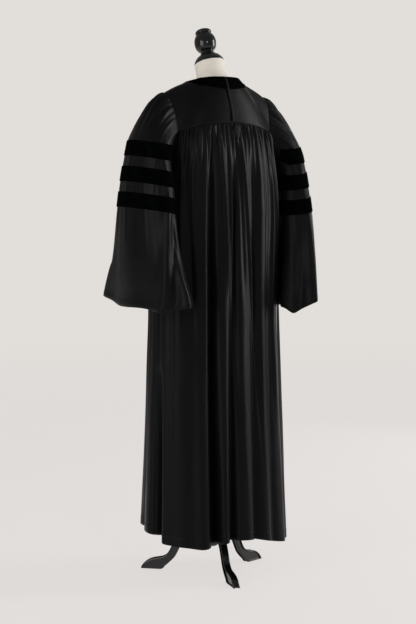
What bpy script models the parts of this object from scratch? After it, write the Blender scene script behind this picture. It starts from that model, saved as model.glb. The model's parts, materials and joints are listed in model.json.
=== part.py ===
"""Graduation gown with bell sleeves and velvet bars, standing on a limbless dress form.

Metres, +Z up. The wearer would face -Y, and the wearer's left is +X. Angles round the body are in
degrees from the centre back towards the wearer's left: 90 is the left side seam, 180 the front.
"""

import math

import bmesh
import bpy
import numpy as np
from mathutils import Matrix

# Cloth
CLOTH = 0.0012
VELVET = 0.0010
SEAM_GAP = 0.0005
LAY_GAP = 0.0003

# Heights of the gown and of its bars
BAR_HEIGHT = 0.044
BAR_PITCH = 0.0765
BAR_TOP = 1.336
BAR_TILT_OUT = 0.010
BAR_TILT_BACK = -0.006
SLEEVE_DROP_RIGHT = 0.005
YOKE_BULGE = 0.05

# Gathers
BACK_GATHERS = 26
FRONT_GATHERS = 7
SLEEVE_GATHERS = 7
SAMPLES_PER_GATHER = 3
YOKE_CORNER = 60.0
FRONT_CORNER = 120.0
BAND_ANGLE = 150.0
SIDE_Y = 0.010
SLEEVE_CORNER = 72.0
GATHERED_HEAD = 60.0

BODY_CLEARANCE = 0.012

# Front bands, neck band and hood strap
NECK_BAND_ANGLE = 97.5
CENTRE_FRONT = 179.3
STRAP_WIDTH = 0.0075
STRAP_OFFSET = 0.007
STRAP_THICKNESS = 0.0010
TAB_WIDTH = 0.021
TAB_LENGTH = 0.046
TAB_TOP = 1.3985

# Dress form and stand
NECK_RADIUS = 0.0465
NECK_TILT = math.radians(18.0)
NECK_TOP = (0.0, -0.016, 1.589)
POLE_RADIUS = 0.0125
POLE_BOTTOM = 0.1903
FORM_BOTTOM = 0.750
HUB_RADIUS = 0.024
LEG_THICKNESS = 0.022
LEG_ANGLES = (71.5, 191.5, 311.5)

# Looks: material name, colour, roughness and metallic value
GOWN = ("gown_cloth", (0.0105, 0.0100, 0.0110), 0.52, 0.0)
BARS = ("velvet", (0.0030, 0.0028, 0.0032), 0.90, 0.0)
COVER = ("form_cover", (0.720, 0.650, 0.555), 0.80, 0.0)
LACQUER = ("black_lacquer", (0.0080, 0.0075, 0.0075), 0.16, 0.0)
METAL = ("pole_metal", (0.0120, 0.0120, 0.0120), 0.35, 0.8)


def columns(names, rows):
    """A table as one array for each named column."""
    return dict(zip(names, np.array(rows, dtype=float).T))


# Outline of the gown's body: half width, centre back, centre front and squareness at each height
BODY = columns(
    ("height", "half_width", "back", "front", "square"),
    (
        (0.10, 0.236, 0.196, -0.190, 2.10),
        (0.35, 0.230, 0.176, -0.170, 2.10),
        (0.60, 0.223, 0.158, -0.152, 2.15),
        (0.85, 0.217, 0.146, -0.138, 2.20),
        (1.00, 0.215, 0.141, -0.133, 2.45),
        (1.15, 0.212, 0.137, -0.130, 2.75),
        (1.25, 0.206, 0.132, -0.127, 2.75),
        (1.34, 0.195, 0.124, -0.121, 2.60),
        (1.41, 0.184, 0.111, -0.117, 2.40),
        (1.45, 0.181, 0.104, -0.112, 2.40),
    ),
)

# Upper edge of the body panels: yoke seam, then the armhole down to the underarm
PANEL_TOP = columns(
    ("angle", "height"),
    (
        (0, 1.403), (30, 1.395), (60, 1.376), (66, 1.322), (74, 1.267), (82, 1.231),
        (90, 1.215), (98, 1.234), (106, 1.282), (114, 1.356), (120, 1.430), (150, 1.425),
        (180, 1.419),
    ),
)

# Hem of the body: it dips at the back right and rises at the front left
HEM = columns(
    ("angle", "height"),
    (
        (-180, 0.148), (-140, 0.128), (-100, 0.105), (-60, 0.098), (-30, 0.111), (-9, 0.131),
        (0, 0.137), (22, 0.134), (37, 0.121), (55, 0.126), (72, 0.132), (90, 0.149),
        (120, 0.157), (150, 0.156), (180, 0.148),
    ),
)

# Depth of a gather at each drop below its seam
GATHER = columns(
    ("drop", "depth"),
    (
        (0.00, 0.0012), (0.01, 0.0036), (0.04, 0.0066), (0.09, 0.0068), (0.16, 0.0044),
        (0.32, 0.0016), (0.60, 0.0004), (1.00, 0.0), (1.40, 0.0),
    ),
)

# Hanging folds: angle at the hem, lean in degrees per metre of height, reach, depth and start
FOLDS = columns(
    ("angle", "lean", "reach", "depth", "start"),
    (
        (-172, 0, 6, 0.006, 1.10), (-150, 0, 9, -0.012, 1.20), (-132, 0, 8, 0.012, 1.20),
        (-116, 3, 6, -0.016, 1.15), (-100, 2, 9, 0.010, 1.10), (-82, 0, 6, -0.020, 1.15),
        (-68, -2, 8, 0.010, 1.20), (-54, -4, 4, -0.014, 1.25), (-40, -5, 8, 0.009, 1.20),
        (-27, -7, 4, -0.010, 1.28), (-17, -8, 6, 0.009, 1.30), (-7, -9, 3, -0.014, 1.36),
        (3, -4, 6, 0.010, 1.38), (14.5, -9.6, 3, -0.026, 1.36), (21.5, -6.6, 4, 0.010, 1.34),
        (29, -3, 3.2, -0.052, 1.38), (39, -2, 6, 0.012, 1.34), (58, 0, 13, 0.010, 1.25),
        (73, 0, 5, 0.010, 1.20), (84, 0, 5, -0.044, 0.66), (98, 0, 9, 0.006, 1.05),
        (116, -3, 6, -0.012, 1.15), (132, 0, 8, 0.010, 1.20), (150, 0, 8, -0.010, 1.20),
        (172, 0, 6, 0.006, 1.10),
    ),
)

# Armhole edge of the yoke, from its back corner over the shoulder to its front corner
YOKE_SHOULDER = columns(
    ("angle", "x", "y", "z"),
    (
        (60, 0.1725, 0.0667, 1.3760), (70, 0.1815, 0.0525, 1.4300), (80, 0.1885, 0.0350, 1.4720),
        (90, 0.1915, 0.0150, 1.4900), (100, 0.1890, -0.0090, 1.4850),
        (110, 0.1795, -0.0350, 1.4630), (120, 0.1651, -0.0552, 1.4300),
    ),
)

# Neckline: round at the back, running down to a V at the front
NECKLINE = columns(
    ("angle", "x", "y", "z"),
    (
        (0, 0.0000, 0.0710, 1.5420), (15, 0.0200, 0.0695, 1.5420), (30, 0.0385, 0.0645, 1.5415),
        (45, 0.0545, 0.0560, 1.5405), (60, 0.0660, 0.0450, 1.5385), (75, 0.0730, 0.0295, 1.5365),
        (90, 0.0745, 0.0120, 1.5325), (105, 0.0710, -0.0100, 1.5235),
        (120, 0.0620, -0.0360, 1.5070), (135, 0.0490, -0.0620, 1.4850),
        (150, 0.0340, -0.0850, 1.4650), (165, 0.0180, -0.1020, 1.4470),
        (180, 0.0010, -0.1110, 1.4340),
    ),
)

# Level outline of a sleeve: centre and half sizes at each height
SLEEVE = columns(
    ("height", "centre_x", "centre_y", "half_x", "half_y"),
    (
        (0.80, 0.2400, 0.000, 0.0700, 0.204), (0.88, 0.2420, 0.000, 0.0700, 0.200),
        (0.94, 0.2520, 0.008, 0.0690, 0.176), (1.00, 0.2600, 0.016, 0.0670, 0.153),
        (1.14, 0.2640, 0.020, 0.0630, 0.123), (1.24, 0.2580, 0.020, 0.0610, 0.105),
        (1.34, 0.2445, 0.019, 0.0570, 0.089), (1.43, 0.2300, 0.016, 0.0490, 0.076),
        (1.51, 0.2200, 0.014, 0.0400, 0.070),
    ),
)

# Drop over which the sleeve head curves from the armhole to its hanging outline
HEAD_DROP = columns(
    ("turn", "drop"), ((0, 0.170), (72, 0.100), (125, 0.070), (180, 0.050)),
)

# Depth of a sleeve head's gathers at each drop below the armhole
HEAD_GATHER = columns(
    ("drop", "depth"),
    ((0.00, 0.0010), (0.01, 0.0030), (0.04, 0.0052), (0.09, 0.0040), (0.16, 0.0014), (0.30, 0.0)),
)

# Folds of each sleeve: turn at the cuff from the outside towards the back, then as for the body
SLEEVE_FOLDS_LEFT = columns(
    ("turn", "lean", "reach", "depth", "start"),
    (
        (-62, 0, 12, 0.014, 0.98), (-34, 0, 14, -0.007, 1.15), (4, 0, 16, 0.006, 1.10),
        (44, 150, 9, 0.015, 1.20), (66, 150, 10, -0.014, 1.15), (90, 0, 10, 0.006, 1.05),
        (150, 0, 14, -0.006, 1.0),
    ),
)
SLEEVE_FOLDS_RIGHT = columns(
    ("turn", "lean", "reach", "depth", "start"),
    (
        (-50, 0, 14, 0.008, 1.10), (-10, 0, 14, -0.007, 1.10), (30, 20, 14, 0.007, 1.15),
        (62, 30, 9, -0.006, 1.10), (86, 0, 9, 0.010, 1.15), (116, -20, 11, -0.015, 1.20),
        (150, 0, 12, 0.004, 1.0),
    ),
)

# Cuff edge of each sleeve
CUFF_LEFT = columns(
    ("turn", "height"),
    (
        (-180, 0.860), (-120, 0.868), (-70, 0.877), (-45, 0.866), (-20, 0.852), (20, 0.850),
        (46, 0.841), (70, 0.850), (100, 0.856), (180, 0.860),
    ),
)
CUFF_RIGHT = columns(
    ("turn", "height"),
    (
        (-180, 0.836), (-120, 0.840), (-60, 0.850), (0, 0.853), (40, 0.860), (66, 0.864),
        (90, 0.852), (107, 0.838), (118, 0.827), (130, 0.818), (140, 0.832), (180, 0.836),
    ),
)

# Share of the yoke that the neck band covers, from the neckline outwards
NECK_BAND_REACH = columns(
    ("angle", "share"),
    (
        (0, 0.285), (15, 0.270), (30, 0.236), (45, 0.194), (60, 0.170), (67.5, 0.182),
        (75, 0.206), (90, 0.250), (97.5, 0.268), (180, 0.27),
    ),
)

# Share of the yoke that the front band covers
BAND_REACH = columns(
    ("angle", "share"),
    (
        (97.9, 0.27), (105.0, 0.30), (112.5, 0.37), (120.0, 0.47), (127.5, 0.59), (135.0, 0.73),
        (142.5, 0.87), (150.0, 1.0), (157.5, 1.0), (165.0, 1.0), (172.5, 1.0), (179.3, 1.0),
    ),
)

# Torso of the form below the yoke
TORSO = columns(
    ("height", "half_width", "back", "front"),
    (
        (1.350, 0.164, 0.098, -0.102), (1.240, 0.156, 0.104, -0.120), (1.120, 0.140, 0.091, -0.104),
        (1.030, 0.129, 0.084, -0.090), (0.930, 0.146, 0.098, -0.094), (0.830, 0.162, 0.109, -0.098),
        (0.750, 0.160, 0.106, -0.094),
    ),
)

# Turned outlines: radius and height along the axis
CAP_OUTLINE = (
    (0.0452, 0.0003), (0.0462, 0.0022), (0.0455, 0.0062), (0.0428, 0.0112), (0.0390, 0.0165),
    (0.0342, 0.0215), (0.0280, 0.0258), (0.0238, 0.0288), (0.0215, 0.0332),
)
FINIAL_OUTLINE = (
    (0.0200, 0.0336), (0.0186, 0.0362), (0.0208, 0.0390), (0.0262, 0.0432), (0.0307, 0.0500),
    (0.0332, 0.0590), (0.0338, 0.0690), (0.0325, 0.0790), (0.0288, 0.0880), (0.0238, 0.0945),
    (0.0226, 0.0968), (0.0248, 0.0985), (0.0252, 0.1015), (0.0232, 0.1062), (0.0180, 0.1098),
    (0.0085, 0.1120),
)
HUB_OUTLINE = (
    (0.0100, 0.0820), (0.0170, 0.0860), (0.0200, 0.0930), (0.0200, 0.1000), (0.0240, 0.1040),
    (0.0240, 0.1640), (0.0205, 0.1690), (0.0190, 0.1780), (0.0205, 0.1850), (0.0190, 0.1900),
)
# Side view of a leg: distance from the hub's axis and height
LEG_OUTLINE = (
    (0.0243, 0.1080), (0.0500, 0.1180), (0.0720, 0.1150), (0.0920, 0.0960), (0.1060, 0.0725),
    (0.1150, 0.0540), (0.1240, 0.0385), (0.1380, 0.0240), (0.1530, 0.0110), (0.1680, 0.0000),
    (0.2270, 0.0000), (0.2305, 0.0040), (0.2250, 0.0140), (0.2140, 0.0245), (0.1985, 0.0330),
    (0.1800, 0.0376), (0.1620, 0.0415), (0.1480, 0.0495), (0.1385, 0.0620), (0.1310, 0.0770),
    (0.1180, 0.1010), (0.1000, 0.1250), (0.0770, 0.1440), (0.0500, 0.1560), (0.0243, 0.1540),
)

# Rows of the body panels
PANEL_DROPS = (0.0, 0.010, 0.040, 0.090, 0.160)
PANEL_SHARES = (0.16, 0.36, 0.58, 0.80, 1.0)
BAR_LEVELS = tuple(
    BAR_TOP - n * BAR_PITCH - drop for n in range(3) for drop in (0.0, BAR_HEIGHT)
)
SLEEVE_LEVELS = (1.494, 1.466, 1.420) + BAR_LEVELS + (1.055, 0.955)


def smooth_curve(keys, values, at):
    """Smooth interpolation through a table's rows."""
    slopes = np.gradient(values, keys)
    at = np.clip(at, keys[0], keys[-1])
    row = np.clip(np.searchsorted(keys, at, side="right") - 1, 0, len(keys) - 2)
    span = keys[row + 1] - keys[row]
    t = (at - keys[row]) / span
    return (
        values[row] * (2 * t**3 - 3 * t**2 + 1)
        + values[row + 1] * (3 * t**2 - 2 * t**3)
        + span * slopes[row] * (t**3 - 2 * t**2 + t)
        + span * slopes[row + 1] * (t**3 - t**2)
    )


def unit(vectors):
    return vectors / np.linalg.norm(vectors, axis=-1, keepdims=True)


def fold_relief(angle, height, table, low, angle_name):
    """Sum of the hanging folds at an angle and a height; low is where they reach full depth."""
    relief = np.zeros(np.broadcast(angle, height).shape)
    for centre, lean, reach, depth, start in zip(
        *(table[name] for name in (angle_name, "lean", "reach", "depth", "start"))
    ):
        away = (angle - centre - lean * (height - low) + 180.0) % 360.0 - 180.0
        fall = np.clip((start - height) / (start - low), 0.0, 1.0) ** 0.6
        relief = relief + depth * fall * np.exp(-((away / reach) ** 2))
    return relief


def panel_top(angle):
    return np.interp(np.abs(angle), PANEL_TOP["angle"], PANEL_TOP["height"])


def body_gathers(angle, drop):
    """Gathers of the back below the yoke, and of each front beside its band."""
    side = np.abs(angle)
    back_phase = (angle + YOKE_CORNER) / (2 * YOKE_CORNER) * BACK_GATHERS
    front_phase = (side - FRONT_CORNER) / (BAND_ANGLE - FRONT_CORNER) * FRONT_GATHERS
    phase = np.where(side < 90.0, back_phase, front_phase)
    edge = np.where(side < 90.0, YOKE_CORNER - side, np.minimum(side - FRONT_CORNER, BAND_ANGLE - side))
    uneven = 0.78 + 0.22 * np.sin(2.4 * np.floor(phase + 0.5) + 0.7)
    ridge = 0.5 + 0.5 * np.cos(2 * math.pi * phase)
    depth = smooth_curve(GATHER["drop"], GATHER["depth"], drop)
    return depth * uneven * ridge * np.clip(edge / 3.0, 0.0, 1.0)


def body_outline(angle, height):
    """Point of the smooth outline of the gown's body, and the level direction out of it."""
    sine = np.sin(np.radians(angle))
    cosine = np.cos(np.radians(angle))
    half = smooth_curve(BODY["height"], BODY["half_width"], height)
    back = smooth_curve(BODY["height"], BODY["back"], height) - SIDE_Y
    front = SIDE_Y - smooth_curve(BODY["height"], BODY["front"], height)
    square = smooth_curve(BODY["height"], BODY["square"], height)
    reach = np.where(cosine > 0, back, front)
    grown = (np.abs(sine) ** square + np.abs(cosine) ** square) ** (-1.0 / square)
    point = np.stack([half * sine * grown, SIDE_Y + reach * cosine * grown, height + 0 * sine], -1)
    out = np.stack(
        [
            np.sign(sine) * np.abs(sine) ** (square - 1) / half,
            np.sign(cosine) * np.abs(cosine) ** (square - 1) / reach,
            0 * sine * half,
        ],
        -1,
    )
    return point, unit(out)


def body_point(angle, height):
    """Point of the gown's body and the level direction out of it."""
    base, out = body_outline(angle, height)
    relief = fold_relief(angle, height, FOLDS, 0.13, "angle")
    relief = relief + body_gathers(angle, np.maximum(panel_top(angle) - height, 0.0))
    return base + out * relief[..., None], out


def yoke_edges(angle):
    """Neckline point and outer edge point of the yoke at an angle."""
    side = np.abs(angle)
    sign = np.where(angle < 0, -1.0, 1.0)
    neck = np.stack([smooth_curve(NECKLINE["angle"], NECKLINE[axis], side) for axis in "xyz"], -1)
    shoulder = np.stack(
        [smooth_curve(YOKE_SHOULDER["angle"], YOKE_SHOULDER[axis], side) for axis in "xyz"], -1
    )
    seam = body_outline(side, panel_top(side))[0]
    over = ((side > YOKE_CORNER) & (side < FRONT_CORNER))[..., None]
    edge = np.where(over, shoulder, seam)
    flip = np.stack([sign, np.ones_like(sign), np.ones_like(sign)], -1)
    return neck * flip, edge * flip


YOKE_ANGLES = np.linspace(-180.0, 180.0, 49)
YOKE_NECK, YOKE_EDGE = yoke_edges(YOKE_ANGLES)


def yoke_point(angle, share):
    """Point of the yoke at an angle, and at a share of the way from neckline to outer edge."""
    neck = np.stack([np.interp(angle, YOKE_ANGLES, YOKE_NECK[:, k]) for k in range(3)], -1)
    edge = np.stack([np.interp(angle, YOKE_ANGLES, YOKE_EDGE[:, k]) for k in range(3)], -1)
    share = np.broadcast_to(share, np.broadcast(angle, share).shape)[..., None]
    point = neck + (edge - neck) * share
    turn = np.radians(np.broadcast_to(angle, share.shape[:-1]))
    out = np.stack([0.35 * np.sin(turn), 0.75 * np.cos(turn), np.full(turn.shape, 0.65)], -1)
    bulge = YOKE_BULGE * np.linalg.norm(edge - neck, axis=-1)[..., None] * 4 * share * (1 - share)
    return point + unit(out) * bulge


def yoke_grid(angles):
    """Rows of the yoke; the third row is the outer edge of the neck band."""
    band = np.interp(np.abs(angles), NECK_BAND_REACH["angle"], NECK_BAND_REACH["share"])
    rows = (0 * band, band / 2, band, (1 + band) / 2, 0 * band + 1)
    return np.array([yoke_point(angles, share) for share in rows])


def armhole_point(turn):
    """Start of the sleeve at a turn: 0 at the shoulder, 90 at the back, 180 at the underarm."""
    away = (turn + 180.0) % 360.0 - 180.0
    over_angle = 90.0 - away * (90.0 - YOKE_CORNER) / SLEEVE_CORNER
    neck, edge = yoke_edges(over_angle)
    over = edge + unit(edge - neck) * SEAM_GAP * 1.4
    under_share = (turn % 360.0 - SLEEVE_CORNER) / (360.0 - 2 * SLEEVE_CORNER)
    under_angle = YOKE_CORNER + under_share * (FRONT_CORNER - YOKE_CORNER)
    under, out = body_point(under_angle, panel_top(under_angle))
    under = under + out * (CLOTH + SEAM_GAP)
    return np.where((np.abs(away) < SLEEVE_CORNER)[..., None], over, under)


def clear_of_body(points, margin):
    """Points moved out of the gown's body, so that they lie at least the margin from it."""
    half = smooth_curve(BODY["height"], BODY["half_width"], points[..., 2])
    back = smooth_curve(BODY["height"], BODY["back"], points[..., 2]) - SIDE_Y
    front = SIDE_Y - smooth_curve(BODY["height"], BODY["front"], points[..., 2])
    ahead = points[..., 1] - SIDE_Y
    reach = np.where(ahead > 0, back, front)
    angle = np.degrees(np.arctan2(points[..., 0] / half, ahead / reach))
    skin, out = body_point(angle, points[..., 2])
    gap = np.sum((points - skin) * out, axis=-1)
    return points + out * np.maximum(margin - gap, 0.0)[..., None]


def sleeve_grid(turns, levels, cuff, folds):
    """Rows of a left sleeve, from the armhole down to the cuff."""
    start = armhole_point(turns)
    away = (turns + 180.0) % 360.0 - 180.0
    hem = smooth_curve(cuff["turn"], cuff["height"], away)
    turn = np.radians(turns)
    tilt = BAR_TILT_OUT * np.cos(turn) + BAR_TILT_BACK * np.sin(turn)
    heights = [start[:, 2]]
    for n, level in enumerate(levels):
        heights.append(np.minimum(level + tilt, start[:, 2] - 0.002 * (n + 1)))
    heights.append(hem)
    rows = []
    drop_reach = np.interp(np.abs(away), HEAD_DROP["turn"], HEAD_DROP["drop"])
    for height in heights:
        fall = np.clip((start[:, 2] - height) / drop_reach, 0.0, 1.0)
        blend = (1.0 - (1.0 - fall) ** 2) ** 0.66
        relief = fold_relief(away, height, folds, 0.86, "turn")
        size = {
            name: smooth_curve(SLEEVE["height"], SLEEVE[name], height)
            for name in SLEEVE
            if name != "height"
        }
        x = size["centre_x"] + (size["half_x"] + relief) * np.cos(turn)
        y = size["centre_y"] + (size["half_y"] + relief) * np.sin(turn)
        level_points = np.stack([x, y, height], -1)
        flat_start = np.stack([start[:, 0], start[:, 1], height], -1)
        row = flat_start + (level_points - flat_start) * blend[:, None]
        rows.append(clear_of_body(row, CLOTH + SEAM_GAP + BODY_CLEARANCE * blend))
    grid = np.array(rows)
    drops = start[None, :, 2] - grid[..., 2]
    phase = (away + GATHERED_HEAD) / (2 * GATHERED_HEAD) * SLEEVE_GATHERS
    window = np.clip((GATHERED_HEAD - np.abs(away)) / 6.0, 0.0, 1.0)
    ridge = (0.5 + 0.5 * np.cos(2 * math.pi * phase)) * window
    depth = smooth_curve(HEAD_GATHER["drop"], HEAD_GATHER["depth"], drops) * ridge
    return grid + grid_normals(grid, True, SLEEVE_CENTRE) * depth[..., None]


SLEEVE_CENTRE = np.array([0.250, 0.010, 1.100])
BODY_CENTRE = np.array([0.0, 0.0, 0.9])
YOKE_CENTRE = np.array([0.0, 0.0, 1.25])


def grid_normals(grid, loop, centre):
    """Unit normals of a grid of points, pointing away from a centre."""
    down = np.gradient(grid, axis=0)
    if loop:
        along = np.roll(grid, -1, axis=1) - np.roll(grid, 1, axis=1)
    else:
        along = np.gradient(grid, axis=1)
    normals = unit(np.cross(along, down))
    if np.mean(np.sum(normals * (grid - centre), axis=-1)) < 0:
        normals = -normals
    return normals


def material(name, colour, roughness, metallic):
    made = bpy.data.materials.get(name)
    if made is None:
        made = bpy.data.materials.new(name)
        made.use_nodes = True
        shader = made.node_tree.nodes["Principled BSDF"]
        shader.inputs["Base Color"].default_value = (*colour, 1.0)
        shader.inputs["Roughness"].default_value = roughness
        shader.inputs["Metallic"].default_value = metallic
    return made


def add_object(name, mesh_bm, look, root):
    bmesh.ops.recalc_face_normals(mesh_bm, faces=mesh_bm.faces)
    mesh = bpy.data.meshes.new(name)
    mesh_bm.to_mesh(mesh)
    mesh_bm.free()
    mesh.shade_smooth()
    mesh.set_sharp_from_angle(angle=math.radians(50.0))
    mesh.materials.append(material(*look))
    made = bpy.data.objects.new(name, mesh)
    bpy.context.scene.collection.objects.link(made)
    made.parent = root
    return made


def strip(bm, first, second, loop):
    """Triangles between two rows of vertices, all with the same diagonal."""
    count = len(first) if loop else len(first) - 1
    for k in range(count):
        n = (k + 1) % len(first)
        bm.faces.new((first[k], first[n], second[n]))
        bm.faces.new((first[k], second[n], second[k]))


def grid_quads(numbers, loop):
    """Quads between the rows of a grid of point numbers."""
    if loop:
        numbers = np.concatenate([numbers, numbers[:, :1]], axis=1)
    corners = (numbers[:-1, :-1], numbers[:-1, 1:], numbers[1:, 1:], numbers[1:, :-1])
    return [tuple(quad) for quad in np.stack(corners, -1).reshape(-1, 4).tolist()]


def shell(name, points, normals, quads, look, root, thickness, lift):
    """Wall about a sheet of quads, lifted off it along its normals, with its edges closed."""
    bm = bmesh.new()
    layers = [
        [bm.verts.new(point) for point in points + normals * offset]
        for offset in (lift + thickness / 2, lift - thickness / 2)
    ]
    sides = {}
    for a, b, c, d in quads:
        for layer in layers:
            bm.faces.new((layer[a], layer[b], layer[c]))
            bm.faces.new((layer[a], layer[c], layer[d]))
        for side in ((a, b), (b, c), (c, d), (d, a)):
            sides[tuple(sorted(side))] = sides.get(tuple(sorted(side)), 0) + 1
    outer, inner = layers
    for (a, b), uses in sides.items():
        if uses == 1:
            bm.faces.new((outer[a], outer[b], inner[b]))
            bm.faces.new((outer[a], inner[b], inner[a]))
    return add_object(name, bm, look, root)


def wall(name, grid, look, root, centre, thickness=CLOTH, lift=0.0, loop=False, normals=None):
    """Cloth wall about a grid of points."""
    if normals is None:
        normals = grid_normals(grid, loop, centre)
    quads = grid_quads(np.arange(grid.shape[0] * grid.shape[1]).reshape(grid.shape[:2]), loop)
    points = grid.reshape(-1, 3)
    return shell(name, points, normals.reshape(-1, 3), quads, look, root, thickness, lift)


def closed_loft(name, rings, look, root):
    """Solid skinned over closed rings, with a flat cap at each end."""
    bm = bmesh.new()
    loops = [[bm.verts.new(point) for point in ring] for ring in rings]
    for upper, lower in zip(loops[:-1], loops[1:]):
        strip(bm, upper, lower, True)
    bm.faces.new(loops[0])
    bm.faces.new(loops[-1])
    return add_object(name, bm, look, root)


def turned(name, outline, look, root, segments=20):
    """Solid turned about Z from an outline of radius and height."""
    angles = np.linspace(0.0, 2 * math.pi, segments, endpoint=False)
    rings = [
        np.stack([radius * np.cos(angles), radius * np.sin(angles), np.full(segments, height)], -1)
        for radius, height in outline
    ]
    return closed_loft(name, rings, look, root)


def panel_grid(angles):
    """Rows of a body panel from its upper edge down to the hem."""
    top = panel_top(angles)
    hem = smooth_curve(HEM["angle"], HEM["height"], angles)
    heights = [top - drop for drop in PANEL_DROPS]
    start = heights[-1]
    heights += [start + (hem - start) * share for share in PANEL_SHARES]
    heights[0] = top - SEAM_GAP * 1.2
    return np.array([body_point(angles, height)[0] for height in heights])


def spaced(*parts):
    """Angles through stops: each part is first angle, last angle and number of steps."""
    runs = [np.linspace(first, last, steps + 1)[:-1] for first, last, steps in parts]
    return np.concatenate(runs + [[parts[-1][1]]])


def build_body(root):
    side_gap = 0.1
    gathers = BACK_GATHERS * SAMPLES_PER_GATHER
    back = spaced(
        (-90.0 + side_gap, -YOKE_CORNER, 8), (-YOKE_CORNER, YOKE_CORNER, gathers),
        (YOKE_CORNER, 90.0 - side_gap, 8),
    )
    wall("back_panel", panel_grid(back), GOWN, root, BODY_CENTRE)
    front = spaced(
        (90.0 + side_gap, FRONT_CORNER, 7),
        (FRONT_CORNER, BAND_ANGLE, FRONT_GATHERS * SAMPLES_PER_GATHER),
        (BAND_ANGLE, CENTRE_FRONT + 0.3, 4),
    )
    for label, sign in (("left", 1.0), ("right", -1.0)):
        grid = panel_grid(sign * front)
        normals = grid_normals(grid, False, BODY_CENTRE)
        wall(f"front_{label}", grid, GOWN, root, None, normals=normals)
        build_front_band(label, sign, grid[1:, -5:], normals[1:, -5:], root)


def build_front_band(label, sign, panel, panel_normals, root):
    """Velvet band down one front: over the yoke from the shoulder, then down the panel."""
    shares = np.linspace(0.0, 1.0, 5)
    upper = np.array([yoke_point(sign * BAND_REACH["angle"], BAND_REACH["share"] * s) for s in shares])
    upper_normals = grid_normals(upper, False, YOKE_CENTRE)
    rows, across = upper.shape[:2]
    below = panel.shape[1]
    points = np.concatenate([upper.reshape(-1, 3), panel.reshape(-1, 3)])
    normals = np.concatenate([upper_normals.reshape(-1, 3), panel_normals.reshape(-1, 3)])
    numbers = np.arange(rows * across).reshape(rows, across)
    quads = grid_quads(numbers[:, :: int(sign)], False)
    seam = np.arange(rows * across - below, rows * across)
    lower = np.arange(rows * across, len(points)).reshape(-1, below)
    quads += grid_quads(np.concatenate([seam[None], lower]), False)
    lift = CLOTH / 2 + VELVET / 2 + 3 * LAY_GAP
    shell(f"front_band_{label}", points, normals, quads, BARS, root, VELVET, lift)


def build_yoke(root):
    inside = YOKE_ANGLES[1:-1]
    angles = np.concatenate([[-CENTRE_FRONT], inside, [CENTRE_FRONT]])
    grid = yoke_grid(angles)
    wall("yoke", grid, GOWN, root, YOKE_CENTRE)
    kept = np.abs(angles) <= NECK_BAND_ANGLE
    normals = grid_normals(grid, False, YOKE_CENTRE)
    lift = CLOTH / 2 + VELVET / 2 + LAY_GAP
    wall(
        "neck_band", grid[:3, kept], BARS, root, YOKE_CENTRE, VELVET, lift,
        normals=normals[:3, kept],
    )


def build_sleeve(label, sign, levels, cuff, folds, root):
    gathered = SLEEVE_GATHERS * SAMPLES_PER_GATHER
    turns = spaced(
        (-GATHERED_HEAD, GATHERED_HEAD, gathered), (GATHERED_HEAD, 360.0 - GATHERED_HEAD, 16)
    )[:-1]
    mirror = np.array([sign, 1.0, 1.0])
    grid = sleeve_grid(turns, levels, cuff, folds) * mirror
    normals = grid_normals(grid, True, SLEEVE_CENTRE * mirror)
    wall(f"sleeve_{label}", grid, GOWN, root, None, loop=True, normals=normals)
    lift = CLOTH / 2 + VELVET / 2 + LAY_GAP
    away = (turns + 180.0) % 360.0 - 180.0
    order = np.argsort(away)
    for number in range(3):
        rows = [4 + 2 * number, 5 + 2 * number]
        full = np.abs(grid[rows[0], :, 2] - grid[rows[1], :, 2]) > 0.3 * BAR_HEIGHT
        name = f"bar_{label}_{number + 1}"
        if full.all():
            band = grid[rows][:, order]
            wall(
                name, band, BARS, root, None, VELVET, lift, True,
                normals[rows][:, order],
            )
        else:
            kept = [k for k in order if full[k]]
            wall(
                name, grid[rows][:, kept], BARS, root, None, VELVET, lift,
                normals=normals[rows][:, kept],
            )


def build_strap(root):
    """Hood strap down the centre back, and the pointed tab that it ends in."""
    shares = np.array([0.012, 0.10, 0.20, 0.31, 0.36, 0.60, 0.84, 0.985])
    lifts = np.array([3.0, 3.0, 3.0, 2.9, 2.2, 1.6, 2.4, 4.6]) * 0.001
    centre = yoke_point(np.zeros(len(shares)), shares)
    out = np.array([0.0, 0.94, 0.34])
    across = STRAP_OFFSET + np.array([-STRAP_WIDTH / 2, STRAP_WIDTH / 2])
    grid = centre[:, None, :] + across[None, :, None] * np.array([1.0, 0.0, 0.0])
    grid = grid + out * lifts[:, None, None]
    wall("hood_strap", grid, GOWN, root, BODY_CENTRE, STRAP_THICKNESS)
    widths = np.array([0.40, 0.94, 1.0, 0.72, 0.10]) * TAB_WIDTH / 2
    heights = TAB_TOP - TAB_LENGTH * np.array([0.0, 0.16, 0.55, 0.80, 1.0])
    rows = []
    for width, height in zip(widths, heights):
        spread = np.linspace(-4.0, 4.0, 17)
        under = body_point(spread, np.full(len(spread), height))[0][:, 1].max()
        y = under + CLOTH / 2 + STRAP_THICKNESS / 2 + LAY_GAP
        rows.append([(side * width, y, height) for side in (-1.0, 0.0, 1.0)])
    wall("hood_tab", np.array(rows), GOWN, root, BODY_CENTRE, STRAP_THICKNESS)


def torso_ring(angles, height, half_width, back, front):
    turn = np.radians(angles)
    reach = np.where(np.cos(turn) > 0, back - SIDE_Y, SIDE_Y - front)
    return np.stack(
        [half_width * np.sin(turn), SIDE_Y + reach * np.cos(turn), np.full(len(angles), height)], -1
    )


def tilted_ring(angles, radius, centre, tilt):
    turn = np.radians(angles)
    flat = np.stack([radius * np.sin(turn), radius * np.cos(turn), np.zeros(len(angles))], -1)
    rotation = np.array(Matrix.Rotation(tilt, 3, "X"))
    return flat @ rotation.T + np.array(centre)


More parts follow.
